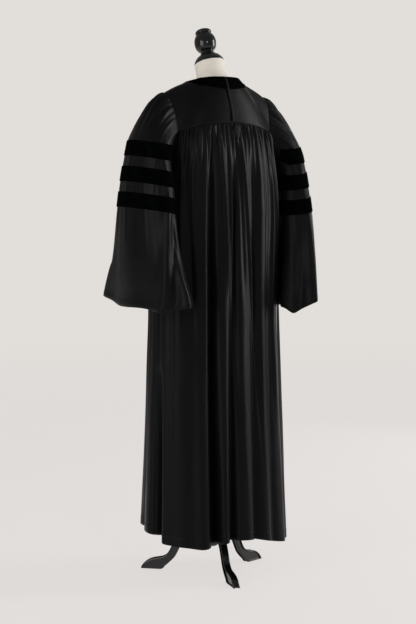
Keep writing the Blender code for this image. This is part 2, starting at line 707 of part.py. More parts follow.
def build_form(root):
    angles = YOKE_ANGLES[:-1]
    grid = yoke_grid(angles)
    normals = grid_normals(grid, True, YOKE_CENTRE)
    shoulder = np.clip(1.0 - ((np.abs(angles) - 90.0) / 25.0) ** 2, 0.0, 1.0)
    gaps = np.array([0.012, 0.0065, 0.0030, 0.0018, 0.0022])[:, None]
    close = np.array([0.0110, 0.0030, 0.0006, 0.0006, 0.0012])[:, None]
    gaps = gaps + (close - gaps) * shoulder
    skin = grid - normals * (CLOTH / 2 + gaps)[..., None]
    neck = [
        tilted_ring(angles, NECK_RADIUS, NECK_TOP, NECK_TILT),
        tilted_ring(angles, NECK_RADIUS, (0.0, -0.0090, 1.568), NECK_TILT * 0.8),
        tilted_ring(angles, 0.0480, (0.0, -0.0020, 1.546), NECK_TILT * 0.6),
        tilted_ring(angles, 0.0530, (0.0, 0.0015, 1.532), NECK_TILT * 0.8),
    ]
    blend = [neck[-1] + (skin[0] - neck[-1]) * 0.5 - np.array([0.0, 0.0, 0.0030])]
    body = [torso_ring(angles, *row) for row in zip(*(TORSO[name] for name in TORSO))]
    rings = neck + blend + list(skin) + body
    closed_loft("form_torso", rings, COVER, root)
    for name, outline in (("neck_cap", CAP_OUTLINE), ("finial", FINIAL_OUTLINE)):
        made = turned(name, outline, LACQUER, root)
        made.location = NECK_TOP
        made.rotation_euler = (NECK_TILT, 0.0, 0.0)


def build_stand(root):
    pole = ((POLE_RADIUS, POLE_BOTTOM), (POLE_RADIUS, FORM_BOTTOM - LAY_GAP))
    turned("pole", pole, METAL, root)
    turned("hub", HUB_OUTLINE, LACQUER, root)
    for number, angle in enumerate(LEG_ANGLES, 1):
        bm = bmesh.new()
        outline = [bm.verts.new((x, -LEG_THICKNESS / 2, z)) for x, z in LEG_OUTLINE]
        face = bm.faces.new(outline)
        pushed = bmesh.ops.extrude_face_region(bm, geom=[face])["geom"]
        moved = [item for item in pushed if isinstance(item, bmesh.types.BMVert)]
        bmesh.ops.translate(bm, verts=moved, vec=(0.0, LEG_THICKNESS, 0.0))
        leg = add_object(f"leg_{number}", bm, LACQUER, root)
        rounded = leg.modifiers.new("rounded edges", "BEVEL")
        rounded.width = 0.003
        rounded.segments = 1
        rounded.limit_method = "ANGLE"
        rounded.angle_limit = math.radians(50.0)
        leg.rotation_euler = (0.0, 0.0, math.radians(angle))


def centre_on_floor(root):
    """Moves the root so that the box round all solids stands centred on the origin."""
    bpy.context.view_layer.update()
    corners = []
    for made in bpy.context.scene.objects:
        if made.type == "MESH":
            points = np.array([made.matrix_world @ vertex.co for vertex in made.data.vertices])
            corners += [points.min(axis=0), points.max(axis=0)]
    low = np.min(corners, axis=0)
    high = np.max(corners, axis=0)
    root.location = (-(low[0] + high[0]) / 2, -(low[1] + high[1]) / 2, -low[2])


def main():
    for old in list(bpy.data.objects):
        bpy.data.objects.remove(old, do_unlink=True)
    root = bpy.data.objects.new("gown_on_form", None)
    bpy.context.scene.collection.objects.link(root)
    build_yoke(root)
    build_body(root)
    build_sleeve("left", 1.0, SLEEVE_LEVELS, CUFF_LEFT, SLEEVE_FOLDS_LEFT, root)
    lower = tuple(level - SLEEVE_DROP_RIGHT for level in SLEEVE_LEVELS)
    build_sleeve("right", -1.0, lower, CUFF_RIGHT, SLEEVE_FOLDS_RIGHT, root)
    build_strap(root)
    build_form(root)
    build_stand(root)
    centre_on_floor(root)


main()
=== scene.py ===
"""Graduation gown on a limbless dress form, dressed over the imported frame.

The shapes repeat the frame's own tables, in metres: +Z up, the wearer would face -Y, and the
wearer's left is +X. Angles round the body are in degrees from the centre back towards the
wearer's left: 90 is the left side seam, 180 the centre front. A sleeve's turn is 0 on its
outside, 90 at the back and 180 at the underarm, and the right sleeve is the left one mirrored.
"""

import json
import math

import bmesh
import bpy
import numpy as np
from bpy.props import FloatProperty, FloatVectorProperty, PointerProperty
from mathutils import Matrix, Vector
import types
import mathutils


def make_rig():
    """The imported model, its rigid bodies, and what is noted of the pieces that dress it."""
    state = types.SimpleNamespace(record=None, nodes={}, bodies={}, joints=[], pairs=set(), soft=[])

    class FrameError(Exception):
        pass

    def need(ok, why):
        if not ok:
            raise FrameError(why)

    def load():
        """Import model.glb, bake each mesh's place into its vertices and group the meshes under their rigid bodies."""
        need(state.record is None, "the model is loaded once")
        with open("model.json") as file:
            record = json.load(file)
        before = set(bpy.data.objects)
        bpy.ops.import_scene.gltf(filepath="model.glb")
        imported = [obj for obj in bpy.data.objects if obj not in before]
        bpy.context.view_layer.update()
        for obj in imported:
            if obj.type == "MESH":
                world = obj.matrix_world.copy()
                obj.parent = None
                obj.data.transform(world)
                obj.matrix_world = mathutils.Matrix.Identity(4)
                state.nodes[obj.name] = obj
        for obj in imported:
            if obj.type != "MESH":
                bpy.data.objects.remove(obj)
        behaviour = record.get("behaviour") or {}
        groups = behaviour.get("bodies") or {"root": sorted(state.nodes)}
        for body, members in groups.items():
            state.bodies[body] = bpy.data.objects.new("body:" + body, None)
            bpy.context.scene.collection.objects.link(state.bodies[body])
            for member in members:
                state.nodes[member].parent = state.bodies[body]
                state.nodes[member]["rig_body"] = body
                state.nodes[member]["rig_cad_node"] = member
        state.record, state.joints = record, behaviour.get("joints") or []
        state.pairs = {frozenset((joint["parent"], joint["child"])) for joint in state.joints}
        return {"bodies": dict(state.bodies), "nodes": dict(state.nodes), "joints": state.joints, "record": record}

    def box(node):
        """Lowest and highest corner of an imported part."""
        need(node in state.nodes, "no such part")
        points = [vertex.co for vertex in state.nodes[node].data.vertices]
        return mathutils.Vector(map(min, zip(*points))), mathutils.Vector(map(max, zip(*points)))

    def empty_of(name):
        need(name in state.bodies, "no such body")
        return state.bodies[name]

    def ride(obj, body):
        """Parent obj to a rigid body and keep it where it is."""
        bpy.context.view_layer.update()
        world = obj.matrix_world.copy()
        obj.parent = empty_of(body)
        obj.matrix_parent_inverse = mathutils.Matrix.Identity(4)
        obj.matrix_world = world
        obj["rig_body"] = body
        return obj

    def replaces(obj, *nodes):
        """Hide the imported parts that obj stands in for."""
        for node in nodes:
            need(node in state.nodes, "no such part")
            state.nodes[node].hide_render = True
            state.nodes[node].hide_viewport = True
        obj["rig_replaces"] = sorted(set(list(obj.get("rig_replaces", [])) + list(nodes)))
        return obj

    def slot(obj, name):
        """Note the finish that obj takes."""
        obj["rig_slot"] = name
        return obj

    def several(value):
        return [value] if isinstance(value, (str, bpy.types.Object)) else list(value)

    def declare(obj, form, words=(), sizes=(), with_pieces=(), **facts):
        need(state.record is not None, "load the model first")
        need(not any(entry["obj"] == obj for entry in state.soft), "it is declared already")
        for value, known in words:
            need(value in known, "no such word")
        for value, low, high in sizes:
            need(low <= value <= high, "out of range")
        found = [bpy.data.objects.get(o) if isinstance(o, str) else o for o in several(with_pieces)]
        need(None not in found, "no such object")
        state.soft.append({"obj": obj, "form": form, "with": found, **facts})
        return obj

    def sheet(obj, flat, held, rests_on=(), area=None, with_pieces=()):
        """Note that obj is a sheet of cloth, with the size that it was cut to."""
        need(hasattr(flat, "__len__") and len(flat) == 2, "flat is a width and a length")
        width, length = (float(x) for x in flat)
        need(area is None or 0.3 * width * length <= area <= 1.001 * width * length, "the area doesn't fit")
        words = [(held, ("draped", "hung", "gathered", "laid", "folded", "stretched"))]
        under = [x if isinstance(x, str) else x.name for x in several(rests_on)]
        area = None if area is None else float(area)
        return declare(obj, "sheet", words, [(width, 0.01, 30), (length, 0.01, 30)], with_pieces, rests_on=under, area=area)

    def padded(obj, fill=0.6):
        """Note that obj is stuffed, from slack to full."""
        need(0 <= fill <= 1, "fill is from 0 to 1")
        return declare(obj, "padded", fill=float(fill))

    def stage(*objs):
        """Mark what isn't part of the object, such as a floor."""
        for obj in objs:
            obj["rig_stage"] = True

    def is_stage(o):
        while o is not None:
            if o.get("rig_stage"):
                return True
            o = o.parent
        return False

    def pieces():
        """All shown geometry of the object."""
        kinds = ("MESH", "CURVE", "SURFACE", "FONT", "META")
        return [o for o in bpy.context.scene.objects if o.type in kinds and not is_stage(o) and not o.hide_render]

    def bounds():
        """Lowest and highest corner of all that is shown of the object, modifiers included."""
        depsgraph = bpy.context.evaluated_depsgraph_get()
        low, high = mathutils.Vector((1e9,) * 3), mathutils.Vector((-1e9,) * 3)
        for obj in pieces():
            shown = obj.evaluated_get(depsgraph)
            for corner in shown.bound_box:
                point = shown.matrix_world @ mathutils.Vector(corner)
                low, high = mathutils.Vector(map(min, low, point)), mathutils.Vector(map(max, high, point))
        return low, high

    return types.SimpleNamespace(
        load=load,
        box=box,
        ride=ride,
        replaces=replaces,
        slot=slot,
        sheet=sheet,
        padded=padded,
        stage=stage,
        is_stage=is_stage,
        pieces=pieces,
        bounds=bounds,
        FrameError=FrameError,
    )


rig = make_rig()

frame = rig.load()
CAD_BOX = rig.bounds()

bl_info = {
    "name": "Graduation gown",
    "version": (1, 0, 0),
    "blender": (4, 5, 0),
    "location": "View3D > Sidebar > Gown",
    "description": "Dresses a form in a gathered gown with bell sleeves and velvet bars",
    "category": "Object",
}

# The frame is centred on its footprint, and the tables on the pole
POLE_LOW, POLE_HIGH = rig.box("pole")
SHIFT = np.array([(POLE_LOW.x + POLE_HIGH.x) / 2, (POLE_LOW.y + POLE_HIGH.y) / 2, 0.0])

# Cut of the gown
BAR_HEIGHT = 0.044
BAR_PITCH = 0.0765
BAR_TOP = 1.336
BAR_TILT_OUT = 0.010
BAR_TILT_BACK = -0.006
SLEEVE_DROP_RIGHT = 0.005
YOKE_BULGE = 0.05
BACK_GATHERS = 26
FRONT_GATHERS = 7
SLEEVE_GATHERS = 7
YOKE_CORNER = 60.0
FRONT_CORNER = 120.0
BAND_ANGLE = 150.0
SIDE_Y = 0.010
SLEEVE_CORNER = 72.0
GATHERED_HEAD = 60.0
BODY_CLEARANCE = 0.012
SEAM_GAP = 0.0005
LAY_GAP = 0.0003
CAD_CLOTH = 0.0012
NECK_BAND_ANGLE = 97.5
CENTRE_FRONT = 179.3
STRAP_WIDTH = 0.0075
STRAP_OFFSET = 0.007
TAB_WIDTH = 0.021
TAB_LENGTH = 0.046
TAB_TOP = 1.3985
STRAP_CLOTH = 0.0013
TAB_CLOTH = 0.0012
HEM_PROUD = 0.0005

# Heights at which the hanging folds reach full depth, and the power that they fade by above
FOLDS_FULL = 0.13
SLEEVE_FOLDS_FULL = 0.86
FOLD_FALL = 0.6

# A point inside each piece, which its normals point away from
SLEEVE_CENTRE = np.array([0.250, 0.010, 1.100])
BODY_CENTRE = np.array([0.0, 0.0, 0.9])
YOKE_CENTRE = np.array([0.0, 0.0, 1.25])

# Dress form and stand
NECK_RADIUS = 0.0465
NECK_TILT = math.radians(18.0)
NECK_TOP = (0.0, -0.016, 1.589)
POLE_RADIUS = 0.0125
POLE_BOTTOM = 0.1903
HUB_RADIUS = 0.0241
FORM_BOTTOM = 0.750
LEG_THICKNESS = 0.022
LEG_RIM = 0.0042
LEG_REACH = (0.0243, 0.2307)
LEG_ANGLES = (71.5, 191.5, 311.5)

# Rings of the form's neck from the top: radius, Y, Z and share of the neck's tilt
NECK_RINGS = (
    (NECK_RADIUS, NECK_TOP[1], NECK_TOP[2], 1.0), (NECK_RADIUS, -0.0090, 1.568, 0.8),
    (0.0480, -0.0020, 1.546, 0.6), (0.0530, 0.0015, 1.532, 0.8),
)
NECK_DIP = 0.0030

# Gap from the yoke in to the form at five rings from the neckline outwards, and over the shoulder
FORM_GAPS = (0.0125, 0.0075, 0.0042, 0.0032, 0.0036)
SHOULDER_GAPS = (0.0115, 0.0042, 0.0018, 0.0018, 0.0024)

# Camera, measured from the pole's axis
CAMERA_ANGLE = math.radians(37.0)
CAMERA_DISTANCE = 4.8
CAMERA_HEIGHT = 1.19
CAMERA_PITCH = math.radians(4.4)
CAMERA_LENS = 89.1
POLE_OFF_CENTRE = 4.5 / 624

# Lights: degrees, distance and height round the pole, aim, size, whose power and what share of it
LIGHTS = (
    ("key", (-62.0, 3.6, 1.9), (0.0, 0.0, 0.9), (1.2, 2.6), "key_power", 1.0),
    ("fill", (78.0, 4.2, 1.8), (0.0, 0.0, 0.9), (2.4, 2.8), "fill_power", 1.0),
    ("front", (20.0, 5.6, 3.4), (0.0, 0.0, 1.1), (0.7, 0.7), "fill_power", 0.5),
    ("rim", (-118.0, 3.2, 1.3), (-0.2, 0.0, 1.1), (0.8, 1.8), "fill_power", 0.15),
)
FLOOR_REACH = 14.0
FLOOR_FADE = (2.5, 8.0)
FLOOR_TONE = (0.14, 0.137, 0.135)
FLOOR_GLOW = (0.94, 0.90, 0.885)
FLOOR_GLOW_STRENGTH = 0.72

# Colours with no setting of their own
POLE_COLOUR = (0.012, 0.012, 0.012)
THREAD_COLOUR = (0.012, 0.012, 0.013)


def columns(names, rows):
    """A table as one array for each named column."""
    return dict(zip(names, np.array(rows, dtype=float).T))


# Outline of the gown's body: half width, centre back, centre front and squareness at each height
BODY = columns(
    ("height", "half_width", "back", "front", "square"),
    (
        (0.10, 0.236, 0.196, -0.190, 2.10),
        (0.35, 0.230, 0.176, -0.170, 2.10),
        (0.60, 0.223, 0.158, -0.152, 2.15),
        (0.85, 0.217, 0.146, -0.138, 2.20),
        (1.00, 0.215, 0.141, -0.133, 2.45),
        (1.15, 0.212, 0.137, -0.130, 2.75),
        (1.25, 0.206, 0.132, -0.127, 2.75),
        (1.34, 0.195, 0.124, -0.121, 2.60),
        (1.41, 0.184, 0.111, -0.117, 2.40),
        (1.45, 0.181, 0.104, -0.112, 2.40),
    ),
)

# Upper edge of the body panels: yoke seam, then the armhole down to the underarm
PANEL_TOP = columns(
    ("angle", "height"),
    (
        (0, 1.403), (30, 1.395), (60, 1.376), (66, 1.322), (74, 1.267), (82, 1.231),
        (90, 1.215), (98, 1.234), (106, 1.282), (114, 1.356), (120, 1.430), (150, 1.425),
        (180, 1.419),
    ),
)

# Hem of the body: it dips at the back right and rises at the front left
HEM = columns(
    ("angle", "height"),
    (
        (-180, 0.148), (-140, 0.128), (-100, 0.105), (-60, 0.098), (-30, 0.111), (-9, 0.131),
        (0, 0.137), (22, 0.134), (37, 0.121), (55, 0.126), (72, 0.132), (90, 0.149),
        (120, 0.157), (150, 0.156), (180, 0.148),
    ),
)

# Depth of a gather at each drop below its seam
GATHER = columns(
    ("drop", "depth"),
    (
        (0.00, 0.0012), (0.01, 0.0036), (0.04, 0.0066), (0.09, 0.0068), (0.16, 0.0044),
        (0.32, 0.0016), (0.60, 0.0004), (1.00, 0.0), (1.40, 0.0),
    ),
)

# Hanging folds: angle at the hem, lean in degrees per metre of height, reach, depth and start
FOLDS = columns(
    ("angle", "lean", "reach", "depth", "start"),
    (
        (-172, 0, 6, 0.006, 1.10), (-150, 0, 9, -0.012, 1.20), (-132, 0, 8, 0.012, 1.20),
        (-116, 3, 6, -0.016, 1.15), (-100, 2, 9, 0.010, 1.10), (-82, 0, 6, -0.020, 1.15),
        (-68, -2, 8, 0.010, 1.20), (-54, -4, 4, -0.014, 1.25), (-40, -5, 8, 0.009, 1.20),
        (-27, -7, 4, -0.010, 1.28), (-17, -8, 6, 0.009, 1.30), (-7, -9, 3, -0.014, 1.36),
        (3, -4, 6, 0.010, 1.38), (14.5, -9.6, 3, -0.026, 1.36), (21.5, -6.6, 4, 0.010, 1.34),
        (29, -3, 3.2, -0.052, 1.38), (39, -2, 6, 0.012, 1.34), (58, 0, 13, 0.010, 1.25),
        (73, 0, 5, 0.010, 1.20), (84, 0, 5, -0.044, 0.66), (98, 0, 9, 0.006, 1.05),
        (116, -3, 6, -0.012, 1.15), (132, 0, 8, 0.010, 1.20), (150, 0, 8, -0.010, 1.20),
        (172, 0, 6, 0.006, 1.10),
    ),
)

# Narrow creases on the body: angle at the top, angle at the bottom, reach, depth, top and bottom
CREASES = columns(
    ("upper", "lower", "reach", "depth", "top", "bottom"),
    (
        (-52, -56, 2.4, 0.0034, 1.37, 0.50), (-40, -37, 2.0, 0.0050, 1.37, 0.30),
        (-27, -29, 1.6, -0.0030, 1.36, 0.70), (-22, -19, 1.2, 0.0050, 1.39, 0.40),
        (-15, -16, 1.4, -0.0058, 1.38, 0.25), (-5, -14, 1.3, 0.0060, 1.39, 0.55),
        (2, -4, 1.8, -0.0030, 1.37, 0.80), (4.8, 5, 1.5, -0.0050, 1.37, 0.30),
        (8.4, 8, 1.2, 0.0064, 1.39, 0.45), (17.4, 12.5, 1.7, 0.0064, 1.39, 0.84),
        (26, 27, 2.2, -0.0050, 1.36, 0.40), (31, 33, 1.5, 0.0036, 1.38, 0.60),
        (45, 45, 1.8, -0.0050, 1.37, 0.70), (54, 58, 2.4, 0.0030, 1.34, 0.70),
        (66, 64, 2.4, 0.0024, 1.20, 0.13), (79, 78, 2.0, 0.0024, 1.10, 0.50),
        (104, 106, 2.0, 0.0030, 1.18, 0.30), (110, 109, 1.6, -0.0026, 1.20, 0.60),
        (124, 125, 1.6, 0.0036, 1.38, 0.40), (129, 128, 1.4, -0.0030, 1.38, 0.70),
        (137, 138, 1.6, 0.0034, 1.38, 0.13), (144, 143, 1.4, -0.0030, 1.36, 0.50),
        (-66, -70, 2.0, 0.0034, 1.20, 0.13), (-76, -76, 1.8, 0.0026, 1.12, 0.40),
        (-90, -92, 2.0, -0.0030, 1.10, 0.13), (-106, -108, 2.0, 0.0034, 1.18, 0.30),
        (-112, -111, 1.6, 0.0026, 1.20, 0.60), (-123, -124, 1.6, 0.0036, 1.38, 0.40),
        (-129, -128, 1.4, -0.0030, 1.38, 0.70), (-137, -139, 1.6, 0.0034, 1.38, 0.13),
        (-145, -144, 1.4, -0.0030, 1.36, 0.50),
    ),
)

# Armhole edge of the yoke, from its back corner over the shoulder to its front corner
YOKE_SHOULDER = columns(
    ("angle", "x", "y", "z"),
    (
        (60, 0.1725, 0.0667, 1.3760), (70, 0.1815, 0.0525, 1.4300), (80, 0.1885, 0.0350, 1.4720),
        (90, 0.1915, 0.0150, 1.4900), (100, 0.1890, -0.0090, 1.4850),
        (110, 0.1795, -0.0350, 1.4630), (120, 0.1651, -0.0552, 1.4300),
    ),
)

# Neckline: round at the back, running down to a V at the front
NECKLINE = columns(
    ("angle", "x", "y", "z"),
    (
        (0, 0.0000, 0.0710, 1.5420), (15, 0.0200, 0.0695, 1.5420), (30, 0.0385, 0.0645, 1.5415),
        (45, 0.0545, 0.0560, 1.5405), (60, 0.0660, 0.0450, 1.5385), (75, 0.0730, 0.0295, 1.5365),
        (90, 0.0745, 0.0120, 1.5325), (105, 0.0710, -0.0100, 1.5235),
        (120, 0.0620, -0.0360, 1.5070), (135, 0.0490, -0.0620, 1.4850),
        (150, 0.0340, -0.0850, 1.4650), (165, 0.0180, -0.1020, 1.4470),
        (180, 0.0010, -0.1110, 1.4340),
    ),
)

# Level outline of a sleeve: centre and half sizes at each height
SLEEVE = columns(
    ("height", "centre_x", "centre_y", "half_x", "half_y"),
    (
        (0.80, 0.2400, 0.000, 0.0700, 0.204), (0.88, 0.2420, 0.000, 0.0700, 0.200),
        (0.94, 0.2520, 0.008, 0.0690, 0.176), (1.00, 0.2600, 0.016, 0.0670, 0.153),
        (1.14, 0.2640, 0.020, 0.0630, 0.123), (1.24, 0.2580, 0.020, 0.0610, 0.105),
        (1.34, 0.2445, 0.019, 0.0570, 0.089), (1.43, 0.2300, 0.016, 0.0490, 0.076),
        (1.51, 0.2200, 0.014, 0.0400, 0.070),
    ),
)

# Drop over which the sleeve head curves from the armhole to its hanging outline
HEAD_DROP = columns(
    ("turn", "drop"), ((0, 0.170), (72, 0.100), (125, 0.070), (180, 0.050)),
)

# Depth of a sleeve head's gathers at each drop below the armhole
HEAD_GATHER = columns(
    ("drop", "depth"),
    ((0.00, 0.0010), (0.01, 0.0030), (0.04, 0.0052), (0.09, 0.0040), (0.16, 0.0014), (0.30, 0.0)),
)

# Folds of each sleeve: turn at the cuff from the outside towards the back, then as for the body
SLEEVE_FOLDS_LEFT = columns(
    ("turn", "lean", "reach", "depth", "start"),
    (
        (-62, 0, 12, 0.014, 0.98), (-34, 0, 14, -0.007, 1.15), (4, 0, 16, 0.006, 1.10),
        (44, 150, 9, 0.015, 1.20), (66, 150, 10, -0.014, 1.15), (90, 0, 10, 0.006, 1.05),
        (150, 0, 14, -0.006, 1.0),
    ),
)
SLEEVE_FOLDS_RIGHT = columns(
    ("turn", "lean", "reach", "depth", "start"),
    (
        (-50, 0, 14, 0.008, 1.10), (-10, 0, 14, -0.007, 1.10), (30, 20, 14, 0.007, 1.15),
        (62, 30, 9, -0.006, 1.10), (86, 0, 9, 0.010, 1.15), (116, -20, 11, -0.015, 1.20),
        (150, 0, 12, 0.004, 1.0),
    ),
)

# Narrow creases of a sleeve: turn at the top, turn at the bottom, reach, depth, top and bottom
SLEEVE_CREASES = columns(
    ("upper", "lower", "reach", "depth", "top", "bottom"),
    (
        (-48, -40, 4.0, 0.0022, 1.40, 1.02), (-24, -30, 3.2, -0.0014, 1.38, 1.05),
        (-8, -4, 3.6, 0.0016, 1.36, 0.98), (14, 20, 3.2, -0.0012, 1.30, 1.00),
        (30, 34, 3.4, 0.0014, 1.28, 0.96), (60, 52, 3.6, -0.0012, 1.30, 0.96),
        (84, 78, 3.4, 0.0014, 1.24, 0.90), (98, 100, 4.5, -0.0016, 1.25, 0.86),
        (128, 124, 4.5, -0.0016, 1.18, 0.88), (-80, -84, 4.5, 0.0024, 1.35, 0.88),
        (-112, -108, 5.0, -0.0020, 1.20, 0.90),
    ),
)

# Cuff edge of each sleeve
CUFF_LEFT = columns(
    ("turn", "height"),
    (
        (-180, 0.860), (-120, 0.868), (-70, 0.877), (-45, 0.866), (-20, 0.852), (20, 0.850),
        (46, 0.841), (70, 0.850), (100, 0.856), (180, 0.860),
    ),
)
CUFF_RIGHT = columns(
    ("turn", "height"),
    (
        (-180, 0.836), (-120, 0.840), (-60, 0.850), (0, 0.853), (40, 0.860), (66, 0.864),
        (90, 0.852), (107, 0.838), (118, 0.827), (130, 0.818), (140, 0.832), (180, 0.836),
    ),
)

# Share of the yoke that the neck band covers, from the neckline outwards
NECK_BAND_REACH = columns(
    ("angle", "share"),
    (
        (0, 0.285), (15, 0.270), (30, 0.236), (45, 0.194), (60, 0.170), (67.5, 0.182),
        (75, 0.206), (90, 0.250), (97.5, 0.268), (180, 0.27),
    ),
)

# Share of the yoke that the front band covers
BAND_REACH = columns(
    ("angle", "share"),
    (
        (97.9, 0.27), (105.0, 0.30), (112.5, 0.37), (120.0, 0.47), (127.5, 0.59), (135.0, 0.73),
        (142.5, 0.87), (150.0, 1.0), (157.5, 1.0), (165.0, 1.0), (172.5, 1.0), (179.3, 1.0),
    ),
)

# Torso of the form below the yoke
TORSO = columns(
    ("height", "half_width", "back", "front"),
    (
        (0.750, 0.160, 0.106, -0.094), (0.830, 0.162, 0.109, -0.098), (0.930, 0.146, 0.098, -0.094),
        (1.030, 0.129, 0.084, -0.090), (1.120, 0.140, 0.091, -0.104), (1.240, 0.156, 0.104, -0.120),
        (1.350, 0.164, 0.098, -0.102),
    ),
)

# Height of the strap over the yoke at each share of its run
STRAP_LIFT = columns(
    ("share", "lift"),
    (
        (0.012, 0.0036), (0.10, 0.0036), (0.20, 0.0036), (0.31, 0.0034), (0.36, 0.0028),
        (0.60, 0.0020), (0.84, 0.0026), (0.985, 0.0046),
    ),
)

# Share of the tab's full width at each share of its length
TAB_SHAPE = columns(
    ("share", "width"), ((0.0, 0.40), (0.16, 0.94), (0.55, 1.0), (0.80, 0.72), (1.0, 0.10))
)

# Turned outlines: radius and height along the axis
CAP_OUTLINE = (
    (0.0452, 0.0003), (0.0462, 0.0022), (0.0455, 0.0062), (0.0428, 0.0112), (0.0390, 0.0165),
    (0.0342, 0.0215), (0.0280, 0.0258), (0.0238, 0.0288), (0.0215, 0.0332),
)
FINIAL_OUTLINE = (
    (0.0200, 0.0336), (0.0186, 0.0362), (0.0208, 0.0390), (0.0262, 0.0432), (0.0307, 0.0500),
    (0.0332, 0.0590), (0.0338, 0.0690), (0.0325, 0.0790), (0.0288, 0.0880), (0.0238, 0.0945),
    (0.0226, 0.0968), (0.0248, 0.0985), (0.0252, 0.1015), (0.0232, 0.1062), (0.0180, 0.1098),
    (0.0085, 0.1120), (0.0008, 0.1126),
)
HUB_OUTLINE = (
    (0.0100, 0.0820), (0.0170, 0.0860), (0.0200, 0.0930), (0.0200, 0.1000), (0.0240, 0.1040),
    (0.0240, 0.1640), (0.0205, 0.1690), (0.0190, 0.1780), (0.0205, 0.1850), (0.0190, 0.1900),
)
# Side view of a leg: distance from the hub's axis and height
LEG_OUTLINE = (
    (0.0243, 0.1080), (0.0500, 0.1180), (0.0720, 0.1150), (0.0920, 0.0960), (0.1060, 0.0725),
    (0.1150, 0.0540), (0.1240, 0.0385), (0.1380, 0.0240), (0.1530, 0.0110), (0.1680, 0.0000),
    (0.2270, 0.0000), (0.2305, 0.0040), (0.2250, 0.0140), (0.2140, 0.0245), (0.1985, 0.0330),
    (0.1800, 0.0376), (0.1620, 0.0415), (0.1480, 0.0495), (0.1385, 0.0620), (0.1310, 0.0770),
    (0.1180, 0.1010), (0.1000, 0.1250), (0.0770, 0.1440), (0.0500, 0.1560), (0.0243, 0.1540),
)

BAR_LEVELS = tuple(BAR_TOP - n * BAR_PITCH - drop for n in range(3) for drop in (0.0, BAR_HEIGHT))
SLEEVE_LEVELS = (1.494, 1.466, 1.420) + BAR_LEVELS + (1.055, 0.955)
SLEEVE_SHAPES = {
    "left": (1.0, SLEEVE_LEVELS, CUFF_LEFT, SLEEVE_FOLDS_LEFT),
    "right": (
        -1.0, tuple(level - SLEEVE_DROP_RIGHT for level in SLEEVE_LEVELS), CUFF_RIGHT,
        SLEEVE_FOLDS_RIGHT,
    ),
}


class GownSettings(bpy.types.PropertyGroup):
    """Sizes and colours of the cloth."""

    cloth: FloatProperty(
        name="Cloth", description="Thickness of the gown cloth", default=0.0011,
        min=0.0005, max=0.003, precision=4, unit="LENGTH",
    )
    velvet: FloatProperty(
        name="Velvet", description="Thickness of the velvet with its pile", default=0.0022,
        min=0.001, max=0.004, precision=4, unit="LENGTH",
    )
    crease: FloatProperty(
        name="Creases", description="Share of the full depth of the narrow creases", default=1.0,
        min=0.0, max=2.0, subtype="FACTOR",
    )
    cloth_colour: FloatVectorProperty(
        name="Cloth colour", description="Colour of the gown cloth", default=(0.0042, 0.0038, 0.0045),
        size=3, min=0.0, max=1.0, subtype="COLOR",
    )
    velvet_colour: FloatVectorProperty(
        name="Velvet colour", description="Colour of the velvet", default=(0.0008, 0.0010, 0.0011),
        size=3, min=0.0, max=1.0, subtype="COLOR",
    )


class FormSettings(bpy.types.PropertyGroup):
    """Sizes and colours of the dress form and its stand."""

    turned_sides: FloatProperty(
        name="Turned sides", description="Number of sides of each turned piece", default=72.0,
        min=16.0, max=128.0,
    )
    cover_colour: FloatVectorProperty(
        name="Cover colour", description="Colour of the form's jersey cover",
        default=(0.940, 0.880, 0.790), size=3, min=0.0, max=1.0, subtype="COLOR",
    )
    lacquer_colour: FloatVectorProperty(
        name="Lacquer colour", description="Colour of the lacquered wood",
        default=(0.0055, 0.0055, 0.0058), size=3, min=0.0, max=1.0, subtype="COLOR",
    )


class StageSettings(bpy.types.PropertyGroup):
    """Floor and lights."""

    floor_colour: FloatVectorProperty(
        name="Floor colour", description="Colour of the floor and of the room round it",
        default=(0.760, 0.735, 0.705), size=3, min=0.0, max=1.0, subtype="COLOR",
    )
    room_light: FloatProperty(
        name="Room light", description="Share of the backdrop's brightness that lights the gown",
        default=0.35, min=0.0, max=1.0, subtype="FACTOR",
    )
    key_power: FloatProperty(
        name="Key light", description="Power of the main soft light", default=84.0, min=0.0,
        unit="POWER",
    )
    fill_power: FloatProperty(
        name="Fill light", description="Power of the soft light on the other side", default=60.0,
        min=0.0, unit="POWER",
    )


# Shapes of the cloth


def smooth_curve(keys, values, at):
    """Smooth interpolation through a table's rows."""
    slopes = np.gradient(values, keys)
    at = np.clip(at, keys[0], keys[-1])
    row = np.clip(np.searchsorted(keys, at, side="right") - 1, 0, len(keys) - 2)
    span = keys[row + 1] - keys[row]
    t = (at - keys[row]) / span
    return (
        values[row] * (2 * t**3 - 3 * t**2 + 1)
        + values[row + 1] * (3 * t**2 - 2 * t**3)
        + span * slopes[row] * (t**3 - 2 * t**2 + t)
        + span * slopes[row + 1] * (t**3 - t**2)
    )


def unit(vectors):
    """Vectors brought to length 1."""
    return vectors / np.linalg.norm(vectors, axis=-1, keepdims=True)


def ease(share):
    """Soft step from 0 to 1."""
    share = np.clip(share, 0.0, 1.0)
    return share * share * (3.0 - 2.0 * share)


def turn_away(angle, centre):
    """Degrees from a centre to an angle, from -180 to 180."""
    return (angle - centre + 180.0) % 360.0 - 180.0


def fold_relief(angle, height, table, low, angle_name):
    """Sum of the hanging folds at an angle and a height; low is where they reach full depth."""
    relief = np.zeros(np.broadcast(angle, height).shape)
    for centre, lean, reach, depth, start in zip(
        *(table[name] for name in (angle_name, "lean", "reach", "depth", "start"))
    ):
        away = turn_away(angle, centre + lean * (height - low))
        fall = np.clip((start - height) / (start - low), 0.0, 1.0) ** FOLD_FALL
        relief = relief + depth * fall * np.exp(-((away / reach) ** 2))
    return relief


